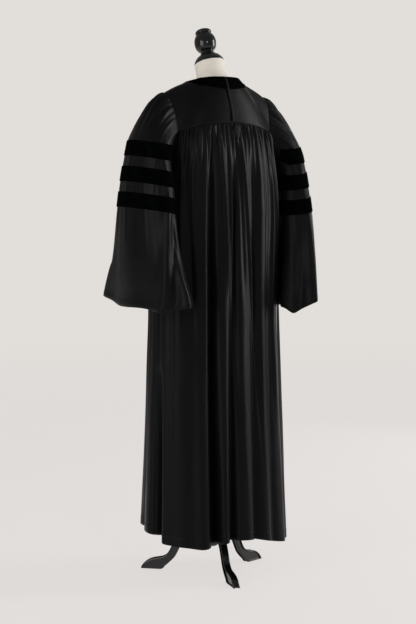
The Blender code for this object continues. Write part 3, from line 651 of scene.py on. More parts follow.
def crease_relief(angle, height, table):
    """Sum of the narrow creases, each on a line between its upper and lower angle."""
    relief = np.zeros(np.broadcast(angle, height).shape)
    for n, (upper, lower, reach, depth, top, bottom) in enumerate(
        zip(*(table[name] for name in ("upper", "lower", "reach", "depth", "top", "bottom")))
    ):
        along = (top - height) / (top - bottom)
        bend = 0.6 * reach * np.sin(3.1 * along + 1.7 * n)
        centre = upper + (lower - upper) * along + bend
        away = turn_away(angle, centre)
        wide = reach * (0.75 + 0.5 * np.clip(along, 0.0, 1.0))
        fade = ease(along / 0.16) * ease((1.0 - along) / 0.35)
        relief = relief + depth * fade * np.exp(-((away / wide) ** 2))
    return relief


def panel_top(angle):
    """Height of the body panels' upper edge."""
    return np.interp(np.abs(angle), PANEL_TOP["angle"], PANEL_TOP["height"])


def body_gathers(angle, drop):
    """Gathers of the back below the yoke, and of each front beside its band.

    Sines of a gather's number make its depth, its swing and its reach uneven.
    """
    side = np.abs(angle)
    back_phase = (angle + YOKE_CORNER) / (2 * YOKE_CORNER) * BACK_GATHERS
    front_phase = (side - FRONT_CORNER) / (BAND_ANGLE - FRONT_CORNER) * FRONT_GATHERS
    phase = np.where(side < 90.0, back_phase, front_phase)
    front_edge = np.minimum(side - FRONT_CORNER, BAND_ANGLE - side)
    edge = np.where(side < 90.0, YOKE_CORNER - side, front_edge)
    number = np.floor(phase + 0.5)
    uneven = 0.72 + 0.28 * np.sin(2.4 * number + 0.7)
    swing = 0.16 * np.sin(1.9 * number + 9.0 * drop) * np.clip(drop / 0.05, 0.0, 1.0)
    ridge = 0.5 + 0.5 * np.cos(2 * math.pi * (phase + swing))
    reach = 0.42 + 0.20 * np.sin(3.7 * number + 1.1) + 0.40 * (np.sin(2.1 * number + 0.4) > 0.80)
    depth = smooth_curve(GATHER["drop"], GATHER["depth"], drop / reach)
    inset = np.clip(edge / 3.0, 0.0, 1.0)
    fine = 0.0011 * np.cos(4 * math.pi * phase + 2.0 * np.sin(1.3 * phase)) * np.exp(-drop / 0.035)
    return (depth * uneven * ridge + fine) * inset


def body_sizes(height):
    """Half width of the body, and its reach behind and before the side seams."""
    half = smooth_curve(BODY["height"], BODY["half_width"], height)
    back = smooth_curve(BODY["height"], BODY["back"], height) - SIDE_Y
    front = SIDE_Y - smooth_curve(BODY["height"], BODY["front"], height)
    return half, back, front


def body_outline(angle, height):
    """Point of the smooth outline of the gown's body, and the level direction out of it."""
    sine = np.sin(np.radians(angle))
    cosine = np.cos(np.radians(angle))
    half, back, front = body_sizes(height)
    square = smooth_curve(BODY["height"], BODY["square"], height)
    reach = np.where(cosine > 0, back, front)
    grown = (np.abs(sine) ** square + np.abs(cosine) ** square) ** (-1.0 / square)
    point = np.stack([half * sine * grown, SIDE_Y + reach * cosine * grown, height + 0 * sine], -1)
    out = np.stack(
        [
            np.sign(sine) * np.abs(sine) ** (square - 1) / half,
            np.sign(cosine) * np.abs(cosine) ** (square - 1) / reach,
            0 * sine * half,
        ],
        -1,
    )
    return point, unit(out)


def ripple(angle, height):
    """Slight unevenness of hanging cloth."""
    return 0.0005 * (
        np.sin(0.23 * angle + 5.0 * height) * np.sin(7.0 * height + 0.05 * angle)
        + 0.6 * np.sin(0.51 * angle - 8.0 * height) * np.sin(13.0 * height - 0.11 * angle)
    )


def body_point(angle, height, crease=1.0):
    """Point of the gown's body and the level direction out of it."""
    base, out = body_outline(angle, height)
    drop = np.maximum(panel_top(angle) - height, 0.0)
    relief = fold_relief(angle, height, FOLDS, FOLDS_FULL, "angle")
    relief = relief + body_gathers(angle, drop)
    narrow = crease_relief(angle, height, CREASES) + ripple(angle, height)
    relief = relief + crease * narrow * ease(drop / 0.05)
    return base + out * relief[..., None], out


def yoke_edges(angle):
    """Neckline point and outer edge point of the yoke at an angle."""
    side = np.abs(angle)
    sign = np.where(angle < 0, -1.0, 1.0)
    neck = np.stack([smooth_curve(NECKLINE["angle"], NECKLINE[axis], side) for axis in "xyz"], -1)
    shoulder = np.stack(
        [smooth_curve(YOKE_SHOULDER["angle"], YOKE_SHOULDER[axis], side) for axis in "xyz"], -1
    )
    seam = body_outline(side, panel_top(side))[0]
    over = ((side > YOKE_CORNER) & (side < FRONT_CORNER))[..., None]
    edge = np.where(over, shoulder, seam)
    flip = np.stack([sign, np.ones_like(sign), np.ones_like(sign)], -1)
    return neck * flip, edge * flip


def yoke_point(angle, share):
    """Point of the yoke at an angle, and at a share of the way from neckline to outer edge."""
    angle, share = np.broadcast_arrays(np.asarray(angle, float), np.asarray(share, float))
    neck, edge = yoke_edges(angle)
    share = share[..., None]
    point = neck + (edge - neck) * share
    turn = np.radians(angle)
    out = np.stack([0.35 * np.sin(turn), 0.75 * np.cos(turn), np.full(turn.shape, 0.65)], -1)
    bulge = YOKE_BULGE * np.linalg.norm(edge - neck, axis=-1)[..., None] * 4 * share * (1 - share)
    return point + unit(out) * bulge


def armhole_point(turn):
    """Start of the sleeve at a turn: 0 at the shoulder, 90 at the back, 180 at the underarm."""
    away = turn_away(turn, 0.0)
    over_angle = 90.0 - away * (90.0 - YOKE_CORNER) / SLEEVE_CORNER
    neck, edge = yoke_edges(over_angle)
    over = edge + unit(edge - neck) * SEAM_GAP * 1.4
    under_share = (turn % 360.0 - SLEEVE_CORNER) / (360.0 - 2 * SLEEVE_CORNER)
    under_angle = YOKE_CORNER + under_share * (FRONT_CORNER - YOKE_CORNER)
    under, out = body_point(under_angle, panel_top(under_angle))
    under = under + out * (CAD_CLOTH + SEAM_GAP)
    return np.where((np.abs(away) < SLEEVE_CORNER)[..., None], over, under)


def clear_of_body(points, margin):
    """Points moved out of the gown's body, so that they lie at least the margin from it."""
    half, back, front = body_sizes(points[..., 2])
    ahead = points[..., 1] - SIDE_Y
    reach = np.where(ahead > 0, back, front)
    angle = np.degrees(np.arctan2(points[..., 0] / half, ahead / reach))
    skin, out = body_point(angle, points[..., 2])
    gap = np.sum((points - skin) * out, axis=-1)
    return points + out * np.maximum(margin - gap, 0.0)[..., None]


def sleeve_grid(turns, levels, cuff, folds, steps, crease):
    """Rows of a left sleeve at steps between the levels: step 0 is the armhole."""
    start = armhole_point(turns)
    away = turn_away(turns, 0.0)
    hem = smooth_curve(cuff["turn"], cuff["height"], away)
    turn = np.radians(turns)
    tilt = BAR_TILT_OUT * np.cos(turn) + BAR_TILT_BACK * np.sin(turn)
    heights = [start[:, 2]]
    for n, level in enumerate(levels):
        heights.append(np.minimum(level + tilt, start[:, 2] - 0.002 * (n + 1)))
    heights = np.array(heights + [hem])
    steps = np.asarray(steps)[:, None]
    low = np.clip(np.floor(steps).astype(int), 0, len(heights) - 2)
    height = heights[low[:, 0]] + (heights[low[:, 0] + 1] - heights[low[:, 0]]) * (steps - low)
    drop_reach = np.interp(np.abs(away), HEAD_DROP["turn"], HEAD_DROP["drop"])
    fall = np.clip((start[:, 2] - height) / drop_reach, 0.0, 1.0)
    blend = (1.0 - (1.0 - fall) ** 2) ** 0.66
    relief = fold_relief(away, height, folds, SLEEVE_FOLDS_FULL, "turn")
    relief = relief + crease * crease_relief(away, height, SLEEVE_CREASES)
    size = {
        name: smooth_curve(SLEEVE["height"], SLEEVE[name], height)
        for name in SLEEVE
        if name != "height"
    }
    x = size["centre_x"] + (size["half_x"] + relief) * np.cos(turn)
    y = size["centre_y"] + (size["half_y"] + relief) * np.sin(turn)
    level_points = np.stack([x, y, height], -1)
    flat_start = np.stack(np.broadcast_arrays(start[:, 0], start[:, 1], height), -1)
    grid = flat_start + (level_points - flat_start) * blend[..., None]
    grid = clear_of_body(grid, CAD_CLOTH + SEAM_GAP + BODY_CLEARANCE * blend)
    drops = start[None, :, 2] - grid[..., 2]
    phase = (away + GATHERED_HEAD) / (2 * GATHERED_HEAD) * SLEEVE_GATHERS
    window = np.clip((GATHERED_HEAD - np.abs(away)) / 6.0, 0.0, 1.0)
    swing = 0.14 * np.sin(2.3 * np.floor(phase + 0.5) + 12.0 * drops)
    ridge = (0.5 + 0.5 * np.cos(2 * math.pi * (phase + swing))) * window
    run = 0.50 + 0.16 * np.sin(2.9 * np.floor(phase + 0.5) + 0.6)
    depth = smooth_curve(HEAD_GATHER["drop"], HEAD_GATHER["depth"], drops / run) * ridge * 0.85
    fine = 0.0008 * np.cos(4 * math.pi * phase + 1.0) * np.exp(-drops / 0.025) * window
    return grid + grid_normals(grid, True, SLEEVE_CENTRE) * (depth + fine)[..., None]


def grid_normals(grid, loop, centre):
    """Unit normals of a grid of points, pointing away from a centre."""
    down = np.gradient(grid, axis=0)
    if loop:
        along = np.roll(grid, -1, axis=1) - np.roll(grid, 1, axis=1)
    else:
        along = np.gradient(grid, axis=1)
    normals = unit(np.cross(along, down))
    if np.mean(np.sum(normals * (grid - centre), axis=-1)) < 0:
        normals = -normals
    return normals


# Meshes


def mesh_object(name, points, faces, slot_name, tidy=True, finish=None):
    """Smooth mesh riding on the frame's one body, in its slot's finish unless another is named."""
    mesh = bpy.data.meshes.new(name)
    mesh.from_pydata((np.asarray(points) + SHIFT).tolist(), [], faces)
    if tidy:
        bm = bmesh.new()
        bm.from_mesh(mesh)
        bmesh.ops.recalc_face_normals(bm, faces=bm.faces)
        bm.to_mesh(mesh)
        bm.free()
    mesh.shade_smooth()
    mesh.set_sharp_from_angle(angle=math.radians(52.0))
    mesh.materials.append(look_of(finish or slot_name))
    made = bpy.data.objects.new(name, mesh)
    bpy.context.scene.collection.objects.link(made)
    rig.ride(made, "root")
    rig.slot(made, slot_name)
    return made


def flat_lengths(grid):
    """Distance along each row and down each column of a sheet, in metres."""
    along = np.linalg.norm(np.diff(grid, axis=1), axis=-1)
    along = np.concatenate([np.zeros((len(grid), 1)), np.cumsum(along, axis=1)], axis=1)
    down = np.linalg.norm(np.diff(grid, axis=0), axis=-1)
    down = np.concatenate([np.zeros((1, grid.shape[1])), np.cumsum(down, axis=0)], axis=0)
    middle = along[:, along.shape[1] // 2][:, None]
    return along - middle, down


def spaced(*parts):
    """Values through stops: each part is first value, last value and number of steps."""
    runs = [np.linspace(first, last, steps + 1)[:-1] for first, last, steps in parts]
    return np.concatenate(runs + [[parts[-1][1]]])


def turned(name, outline, slot_name, tilt, sides):
    """Closed piece turned from an outline of radius and height: about Z, or on the tilted neck."""
    outline = np.array(outline)
    angles = np.linspace(0.0, 2 * math.pi, sides, endpoint=False)
    rings = np.stack(
        [
            outline[:, :1] * np.cos(angles), outline[:, :1] * np.sin(angles),
            np.repeat(outline[:, 1:], sides, axis=1),
        ],
        -1,
    )
    total = len(outline)
    number = np.arange(total * sides).reshape(total, sides)
    following = np.roll(number, -1, axis=1)
    faces = []
    for ring in range(total - 1):
        quads = np.stack([number[ring], following[ring], following[ring + 1], number[ring + 1]], -1)
        faces += quads.tolist()
    faces += [number[0].tolist(), number[-1].tolist()]
    points = rings.reshape(-1, 3)
    if tilt is not None:
        rotation = np.array(Matrix.Rotation(tilt, 3, "X"))
        points = points @ rotation.T + np.array(NECK_TOP)
    return mesh_object(name, points, faces, slot_name)


def rounded_outline(outline, steps, closed=False):
    """Smooth curve through the points of an outline."""
    points = np.array(outline, dtype=float)
    if closed:
        points = np.concatenate([points[-1:], points, points[:2]])
    else:
        points = np.concatenate([2 * points[:1] - points[1:2], points, 2 * points[-1:] - points[-2:-1]])
    made = []
    for a, b, c, d in zip(points[:-3], points[1:-2], points[2:-1], points[3:]):
        for t in np.linspace(0.0, 1.0, steps, endpoint=False):
            made.append(
                0.5 * (
                    2 * b + (c - a) * t + (2 * a - 5 * b + 4 * c - d) * t**2
                    + (3 * b - a - 3 * c + d) * t**3
                )
            )
    if not closed:
        made.append(points[-2])
    return np.array(made)


def corner_points(mesh):
    """Number of the point at each face corner."""
    corners = np.zeros(len(mesh.loops), dtype=int)
    mesh.loops.foreach_get("vertex_index", corners)
    return corners


def lay_out(mesh, place):
    """Gives each face corner its place on the flat cut."""
    layer = mesh.uv_layers.new(name="cut")
    layer.data.foreach_set("uv", place.ravel().astype(np.float32))


def sheet_object(name, points, normals, quads, slot_name, thickness, lift, place, wrap=None):
    """Thin shell about a sheet of quads, with rounded edges; place holds each point's cut lengths."""
    quads = np.asarray(quads)
    across = points[quads[:, 2]] - points[quads[:, 0]]
    facing = np.cross(across, points[quads[:, 3]] - points[quads[:, 1]])
    if np.mean(np.sum(facing * normals[quads[:, 0]], axis=-1)) < 0:
        quads = quads[:, ::-1]
    total = len(points)
    outer = points + normals * (lift + thickness / 2)
    inner = points + normals * (lift - thickness / 2)
    following = np.roll(quads, -1, axis=1)
    edges = np.stack([quads.ravel(), following.ravel()], -1)
    key = np.sort(edges, axis=1)
    key = key[:, 0] * total + key[:, 1]
    kinds, uses = np.unique(key, return_counts=True)
    rim = edges[uses[np.searchsorted(kinds, key)] == 1]
    away = np.zeros_like(points)
    direction = unit(np.cross(points[rim[:, 1]] - points[rim[:, 0]], normals[rim[:, 0]]))
    np.add.at(away, rim[:, 0], direction)
    np.add.at(away, rim[:, 1], direction)
    used = np.unique(rim)
    number = np.full(total, -1)
    number[used] = 2 * total + np.arange(len(used))
    middle = (outer[used] + inner[used]) / 2 + unit(away[used]) * thickness * 0.45
    a, b = rim[:, 0], rim[:, 1]
    faces = [
        quads,
        quads[:, ::-1] + total,
        np.stack([b, a, number[a], number[b]], -1),
        np.stack([number[b], number[a], a + total, b + total], -1),
    ]
    vertices = np.concatenate([outer, inner, middle])
    faces = np.concatenate(faces)
    made = mesh_object(name, vertices, faces.tolist(), slot_name, tidy=False)
    place = np.concatenate([place, place, place[used]])
    corners = corner_points(made.data)
    at = place[corners]
    if wrap is not None:
        first_column, length = wrap
        first_column = np.concatenate([first_column, first_column, first_column[used]])[corners]
        wide = np.ptp(at[:, 0].reshape(-1, 4), axis=1) > 0.5 * length
        at[:, 0] += np.where(np.repeat(wide, 4) & first_column, length, 0.0)
    lay_out(made.data, at)
    return made


def grid_quads(numbers, loop):
    """Quads between the rows of a grid of point numbers."""
    if loop:
        numbers = np.concatenate([numbers, numbers[:, :1]], axis=1)
    corners = (numbers[:-1, :-1], numbers[:-1, 1:], numbers[1:, 1:], numbers[1:, :-1])
    return np.stack(corners, -1).reshape(-1, 4)


def cloth_sheet(name, grid, slot_name, thickness, lift=0.0, loop=False, normals=None, centre=None):
    """Thin shell about a grid of points, with given normals or with ones that leave a centre."""
    if normals is None:
        normals = grid_normals(grid, loop, centre)
    rows, count = grid.shape[:2]
    numbers = np.arange(rows * count).reshape(rows, count)
    along, down = flat_lengths(grid)
    wrap = None
    if loop:
        width = np.linalg.norm(grid[:, 0] - grid[:, -1], axis=-1) + along[:, -1] - along[:, 0]
        wrap = ((numbers % count == 0).ravel(), float(width.mean()))
    return sheet_object(
        name, grid.reshape(-1, 3), normals.reshape(-1, 3), grid_quads(numbers, loop), slot_name,
        thickness, lift, np.stack([along, down], -1).reshape(-1, 2), wrap,
    )


# Rings of one stitch: share of its length, swell of its width, and rise in widths
STITCH_RINGS = ((0.0, 0.35, -0.15), (0.22, 1.0, 0.55), (0.78, 1.0, 0.55), (1.0, 0.35, -0.15))


def stitches(name, path, normals, pitch=0.0034, length=0.0024, width=0.00045):
    """Row of sewn stitches along a path on the cloth, as one mesh."""
    steps = np.linalg.norm(np.diff(path, axis=0), axis=-1)
    run = np.concatenate([[0.0], np.cumsum(steps)])
    points, faces = [], []
    for start in np.arange(pitch / 2, run[-1] - length, pitch):
        first = len(points)
        for share, swell, rise in STITCH_RINGS:
            at = start + share * length
            centre = np.array([np.interp(at, run, path[:, k]) for k in range(3)])
            normal = unit(np.array([np.interp(at, run, normals[:, k]) for k in range(3)]))
            ahead = np.array([np.interp(min(at + 0.001, run[-1]), run, path[:, k]) for k in range(3)])
            behind = np.array([np.interp(max(at - 0.001, 0.0), run, path[:, k]) for k in range(3)])
            side = unit(np.cross(ahead - behind, normal))
            for turn in (0.0, 90.0, 180.0, 270.0):
                c, s = math.cos(math.radians(turn)), math.sin(math.radians(turn))
                offset = side * c * width / 2 * swell + normal * (s * width / 2 * swell + rise * width)
                points.append(centre + offset)
        for low in (first, first + 4, first + 8):
            for k in range(4):
                n = (k + 1) % 4
                faces.append([low + k, low + n, low + 4 + n, low + 4 + k])
        faces.append([first + k for k in range(4)])
        faces.append([first + 12 + k for k in range(4)])
    return mesh_object(name, points, faces, "gown_cloth", finish="sewing_thread")


def sewn_line(name, points, normals):
    """Row of stitches on the outer face of the gown cloth."""
    lift = bpy.context.scene.gown_cloth_settings.cloth / 2 + STITCH_LIFT
    return stitches(name, points + normals * lift, normals)


# Looks


class Look:
    """Node builder for one material."""

    def __init__(self, name, colour, roughness, **values):
        self.material = bpy.data.materials.new(f"{name}_look")
        self.material.use_nodes = True
        self.tree = self.material.node_tree
        self.shader = self.tree.nodes["Principled BSDF"]
        self.shader.inputs["Base Color"].default_value = (*colour, 1.0)
        self.shader.inputs["Roughness"].default_value = roughness
        for socket, value in values.items():
            self.shader.inputs[socket.replace("_", " ")].default_value = value
        self.place = self.tree.nodes.new("ShaderNodeTexCoord")
        self.colour = colour

    def node(self, kind, **settings):
        made = self.tree.nodes.new(kind)
        for setting, value in settings.items():
            setattr(made, setting, value)
        return made

    def link(self, out, into):
        self.tree.links.new(out, into)

    def mapped(self, source, scale, turn=(0.0, 0.0, 0.0)):
        """Texture place scaled, and turned in degrees."""
        made = self.node("ShaderNodeMapping")
        made.inputs["Scale"].default_value = scale
        made.inputs["Rotation"].default_value = [math.radians(t) for t in turn]
        self.link(self.place.outputs[source], made.inputs["Vector"])
        return made.outputs["Vector"]

    def noise(self, vector, scale, detail=3.0, roughness=0.55):
        made = self.node("ShaderNodeTexNoise")
        made.inputs["Scale"].default_value = scale
        made.inputs["Detail"].default_value = detail
        made.inputs["Roughness"].default_value = roughness
        self.link(vector, made.inputs["Vector"])
        return made.outputs["Fac"]

    def wave(self, vector, direction, period, distortion=0.0):
        """Bands with a period in metres."""
        made = self.node("ShaderNodeTexWave", wave_type="BANDS", bands_direction=direction)
        made.inputs["Scale"].default_value = 2 * math.pi / (20.0 * period)
        made.inputs["Distortion"].default_value = distortion
        self.link(vector, made.inputs["Vector"])
        return made.outputs["Fac"]

    def joined(self, operation, first, second):
        made = self.node("ShaderNodeMath", operation=operation)
        for socket, value in zip(made.inputs, (first, second)):
            if isinstance(value, float):
                socket.default_value = value
            else:
                self.link(value, socket)
        return made.outputs["Value"]

    def ranged(self, value, low, high, to_low, to_high):
        made = self.node("ShaderNodeMapRange")
        for name, number in (
            ("From Min", low), ("From Max", high), ("To Min", to_low), ("To Max", to_high),
        ):
            made.inputs[name].default_value = number
        self.link(value, made.inputs["Value"])
        return made.outputs["Result"]

    def tinted(self, value, factors, positions):
        """The finish's colour, made darker and lighter by factors at positions of a value."""
        made = self.node("ShaderNodeValToRGB")
        ramp = made.color_ramp
        for k, (factor, position) in enumerate(zip(factors, positions)):
            stop = ramp.elements[k] if k < 2 else ramp.elements.new(position)
            stop.position = position
            stop.color = (*(min(1.0, part * factor) for part in self.colour), 1.0)
        self.link(value, made.inputs["Fac"])
        self.link(made.outputs["Color"], self.shader.inputs["Base Color"])

    def rough(self, value, low, high):
        self.link(self.ranged(value, 0.3, 0.7, low, high), self.shader.inputs["Roughness"])

    def bumps(self, *layers):
        """Bump layers of height, strength and distance, one on the other."""
        below = None
        for height, strength, distance in layers:
            made = self.node("ShaderNodeBump")
            made.inputs["Strength"].default_value = strength
            made.inputs["Distance"].default_value = distance
            self.link(height, made.inputs["Height"])
            if below is not None:
                self.link(below, made.inputs["Normal"])
            below = made.outputs["Normal"]
        self.link(below, self.shader.inputs["Normal"])


def gown_cloth_look(colour):
    """Plain-woven gown cloth: fine threads, soft crumples and a faint satin sheen."""
    look = Look(
        "gown_cloth", colour, 0.40, Specular_IOR_Level=0.085, Sheen_Weight=0.010, Sheen_Roughness=0.30,
        Sheen_Tint=(0.62, 0.58, 0.72, 1.0),
    )
    cut = look.mapped("UV", (1.0, 1.0, 1.0))
    room = look.mapped("Object", (1.0, 1.0, 0.35))
    look.tinted(look.noise(room, 16.0, 4.0), (0.78, 1.0, 1.28), (0.30, 0.52, 0.75))
    look.rough(look.noise(room, 30.0, 3.0), 0.33, 0.45)
    weave = look.joined("MULTIPLY", look.wave(cut, "X", 0.00052), look.wave(cut, "Y", 0.00052))
    slub = look.noise(look.mapped("UV", (1.0, 0.06, 1.0)), 900.0, 2.0)
    crumple = look.noise(room, 55.0, 3.0, 0.5)
    look.bumps((crumple, 0.22, 0.0016), (slub, 0.10, 0.0003), (weave, 0.30, 0.00012))
    return look.material


def velvet_look(colour):
    """Deep cotton velvet whose pile lies in soft patches, with the patches' sheen painted into its colour as lighter
    and darker tone.
    """
    look = Look(
        "velvet", colour, 0.90, Specular_IOR_Level=0.008, Sheen_Weight=0.003, Sheen_Roughness=0.30,
        Sheen_Tint=(0.70, 0.78, 0.80, 1.0),
    )
    room = look.mapped("Object", (1.0, 1.0, 0.6))
    nap_and_sheen = look.noise(room, 34.0, 4.0)
    # Painted sheen: the pile patches are painted lighter and darker in the colour, as where the pile catches the
    # light; the same noise also bumps the pile
    look.tinted(nap_and_sheen, (0.6, 1.0, 1.9), (0.34, 0.52, 0.74))
    look.rough(look.noise(room, 60.0, 2.0), 0.80, 0.95)
    pile = look.noise(look.mapped("Object", (1.0, 1.0, 1.0)), 1600.0, 2.0)
    look.bumps((nap_and_sheen, 0.20, 0.0012), (pile, 0.45, 0.00035))
    return look.material


def cover_look(colour):
    """Cream jersey stretched over the form, with fine ribs and a little dust."""
    look = Look(
        "form_cover", colour, 0.82, Specular_IOR_Level=0.25, Sheen_Weight=0.12, Sheen_Roughness=0.5,
    )
    cut = look.mapped("UV", (1.0, 1.0, 1.0))
    room = look.mapped("Object", (1.0, 1.0, 1.0))
    look.tinted(look.noise(room, 22.0, 5.0), (0.92, 1.0, 1.05), (0.28, 0.50, 0.72))
    look.rough(look.noise(room, 45.0, 2.0), 0.74, 0.90)
    ribs = look.wave(cut, "X", 0.0012, 0.4)
    loops = look.wave(cut, "Y", 0.0009, 0.6)
    knit = look.joined("MULTIPLY", ribs, loops)
    look.bumps((look.noise(room, 160.0, 2.0), 0.12, 0.0008), (knit, 0.35, 0.00025))
    return look.material


def lacquer_look(colour):
    """Black gloss lacquer over turned and carved wood, slightly wavy, with fine rubs."""
    look = Look(
        "black_lacquer", colour, 0.20, Specular_IOR_Level=0.30, Coat_Weight=0.35, Coat_Roughness=0.04,
    )
    room = look.mapped("Object", (1.0, 1.0, 1.0))
    look.tinted(look.noise(room, 26.0, 5.0, 0.6), (0.7, 1.0, 2.0), (0.30, 0.55, 0.80))
    look.rough(look.noise(room, 120.0, 4.0, 0.65), 0.12, 0.26)
    grain = look.noise(look.mapped("Object", (1.0, 1.0, 0.12)), 240.0, 3.0)
    look.bumps((look.noise(room, 38.0, 2.0), 0.10, 0.0010), (grain, 0.06, 0.0002))
    return look.material


def pole_look(colour):
    """Black enamelled steel tube with fine lengthwise brushing."""
    look = Look("pole_metal", colour, 0.34, Metallic=0.8, Coat_Weight=0.3, Coat_Roughness=0.15)
    room = look.mapped("Object", (1.0, 1.0, 0.05))
    look.tinted(look.noise(room, 160.0, 3.0), (0.7, 1.0, 1.5), (0.30, 0.55, 0.80))
    look.rough(look.noise(room, 90.0, 3.0), 0.26, 0.42)
    look.bumps((look.noise(room, 420.0, 2.0), 0.10, 0.0002))
    return look.material


def thread_look():
    """Black sewing thread, a little brighter than the cloth."""
    look = Look("sewing_thread", THREAD_COLOUR, 0.50, Specular_IOR_Level=0.3)
    twist = look.wave(look.mapped("Object", (1.0, 1.0, 1.0), (0.0, 40.0, 0.0)), "X", 0.0003)
    look.tinted(twist, (0.7, 1.0, 1.4), (0.10, 0.50, 0.90))
    look.bumps((twist, 0.30, 0.0001))
    return look.material


def look_of(name):
    """Material of one finish, made on first use."""
    made = bpy.data.materials.get(f"{name}_look")
    if made is not None:
        return made
    gown = bpy.context.scene.gown_cloth_settings
    form = bpy.context.scene.gown_form_settings
    makers = {
        "gown_cloth": lambda: gown_cloth_look(tuple(gown.cloth_colour)),
        "velvet": lambda: velvet_look(tuple(gown.velvet_colour)),
        "form_cover": lambda: cover_look(tuple(form.cover_colour)),
        "black_lacquer": lambda: lacquer_look(tuple(form.lacquer_colour)),
        "pole_metal": lambda: pole_look(POLE_COLOUR),
        "sewing_thread": thread_look,
    }
    return makers[name]()


# Rows and columns of the cloth

NEAR_SEAM = (
    0.0, 0.003, 0.006, 0.010, 0.015, 0.021, 0.028, 0.036, 0.045, 0.055, 0.066, 0.078, 0.092, 0.108,
    0.126, 0.146,
)
NEAR_HEM = (0.030, 0.0275, 0.0255, 0.0245, 0.0225, 0.016, 0.008, 0.0)
PANEL_ROWS = 104
HEM_FOLD = 0.025
SLEEVE_ROWS = (6, 5, 8, 13, 9, 6, 9, 6, 9, 12, 15, 13)
CUFF_ROWS = (11.80, 11.83, 11.86, 11.92, 12.0)
STITCH_LIFT = 0.0001
YOKE_SOFTENING = 30

# Angles of the panels' edges, and columns in a side stretch and in one gather
SIDE_SEAM = 90.0
SIDE_GAP = 0.03
FRONT_EDGE = 179.6
SIDE_COLUMNS = 26
GATHER_COLUMNS = 9
HEAD_COLUMNS = 12
UNDERARM_COLUMNS = 116
BAND_COLUMNS = 23

# Rows, counted from the last one, that the hem's and the cuff's stitches follow
HEM_STITCH_ROW = -5
CUFF_STITCH_ROW = -4

# Rows of stitches on the yoke: part, first and last angle; and the shares that they lie between
YOKE_STITCHES = (("back", -59.0, 59.0), ("left", 121.0, 149.0), ("right", -149.0, -121.0))
YOKE_STITCH_SHARES = (0.94, 0.99)

# Step of the sleeve's rows at which the upper bar starts; a bar and the space below take one each
UPPER_BAR_STEP = 4


def panel_heights(angles):
    """Heights of the rows of a body panel at each angle, from the seam to the hem."""
    top = panel_top(angles)
    hem = smooth_curve(HEM["angle"], HEM["height"], angles)
    rows = [top - drop for drop in NEAR_SEAM]
    start, end = rows[-1], hem + NEAR_HEM[0]
    rows += [start + (end - start) * share for share in np.linspace(0, 1, PANEL_ROWS + 1)[1:-1]]
    rows += [hem + rise for rise in NEAR_HEM]
    rows[0] = top - SEAM_GAP * 1.2
    return np.array(rows)


def panel_grid(angles, crease):
    """Rows of a body panel, with the turned-up hem standing slightly proud."""
    heights = panel_heights(angles)
    hem = smooth_curve(HEM["angle"], HEM["height"], angles)
    points, out = body_point(angles, heights, crease)
    proud = HEM_PROUD * ease((HEM_FOLD + 0.001 - (heights - hem)) / 0.002)
    return points + out * proud[..., None]


BACK_ANGLES = spaced(
    (SIDE_GAP - SIDE_SEAM, -YOKE_CORNER, SIDE_COLUMNS),
    (-YOKE_CORNER, YOKE_CORNER, BACK_GATHERS * GATHER_COLUMNS),
    (YOKE_CORNER, SIDE_SEAM - SIDE_GAP, SIDE_COLUMNS),
)
FRONT_ANGLES = spaced(
    (SIDE_SEAM + SIDE_GAP, FRONT_CORNER, SIDE_COLUMNS),
    (FRONT_CORNER, BAND_ANGLE, FRONT_GATHERS * GATHER_COLUMNS),
    (BAND_ANGLE, FRONT_EDGE, BAND_COLUMNS - 1),
)
SLEEVE_TURNS = spaced(
    (-GATHERED_HEAD, GATHERED_HEAD, SLEEVE_GATHERS * HEAD_COLUMNS),
    (GATHERED_HEAD, 360.0 - GATHERED_HEAD, UNDERARM_COLUMNS),
)[:-1]
EVEN_STEPS = spaced(*[(float(n), float(n + 1), count) for n, count in enumerate(SLEEVE_ROWS)])
SLEEVE_STEPS = np.concatenate([EVEN_STEPS[EVEN_STEPS < CUFF_ROWS[0]], CUFF_ROWS])


def sleeve_points(side):
    """Grid and normals of one sleeve, its cuff's turned edge standing slightly proud."""
    sign, levels, cuff, folds = SLEEVE_SHAPES[side]
    crease = bpy.context.scene.gown_cloth_settings.crease
    grid = sleeve_grid(SLEEVE_TURNS, levels, cuff, folds, SLEEVE_STEPS, crease)
    normals = grid_normals(grid, True, SLEEVE_CENTRE)
    proud = HEM_PROUD * ease((SLEEVE_STEPS - CUFF_ROWS[0]) / (CUFF_ROWS[2] - CUFF_ROWS[0]))
    grid = grid + normals * proud[:, None, None]
    mirror = np.array([sign, 1.0, 1.0])
    return grid * mirror, normals * mirror


def neck_band_reach(angles):
    """Share of the yoke that the neck band covers at each angle."""
    return np.interp(np.abs(angles), NECK_BAND_REACH["angle"], NECK_BAND_REACH["share"])


def yoke_points(low=0.0, high=1.0, rows=28, first=-CENTRE_FRONT, last=CENTRE_FRONT, columns_wide=288):
    """Grid and normals of the yoke between two shares of the way from the neckline."""
    angles = np.linspace(first, last, columns_wide + 1)
    shares = np.linspace(low, high, rows + 1)
    grid = yoke_point(angles[None, :], shares[:, None])
    soft = grid.copy()
    for _ in range(YOKE_SOFTENING):
        soft[:, 1:-1] = (soft[:, :-2] + 2 * soft[:, 1:-1] + soft[:, 2:]) / 4
    weight = ease((shares - 0.25) / 0.25) * ease((1.0 - shares) / 0.08)
    grid = grid + (soft - grid) * weight[:, None, None]
    return grid, grid_normals(grid, False, YOKE_CENTRE)


# Pieces


def dress(piece, flat, held, rests_on, nodes, area=None, with_pieces=()):
    """States the cut of a cloth piece, and the frame's nodes that it stands for."""
    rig.replaces(piece, *nodes)
    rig.sheet(piece, flat=flat, held=held, rests_on=rests_on, area=area, with_pieces=with_pieces)
    return piece


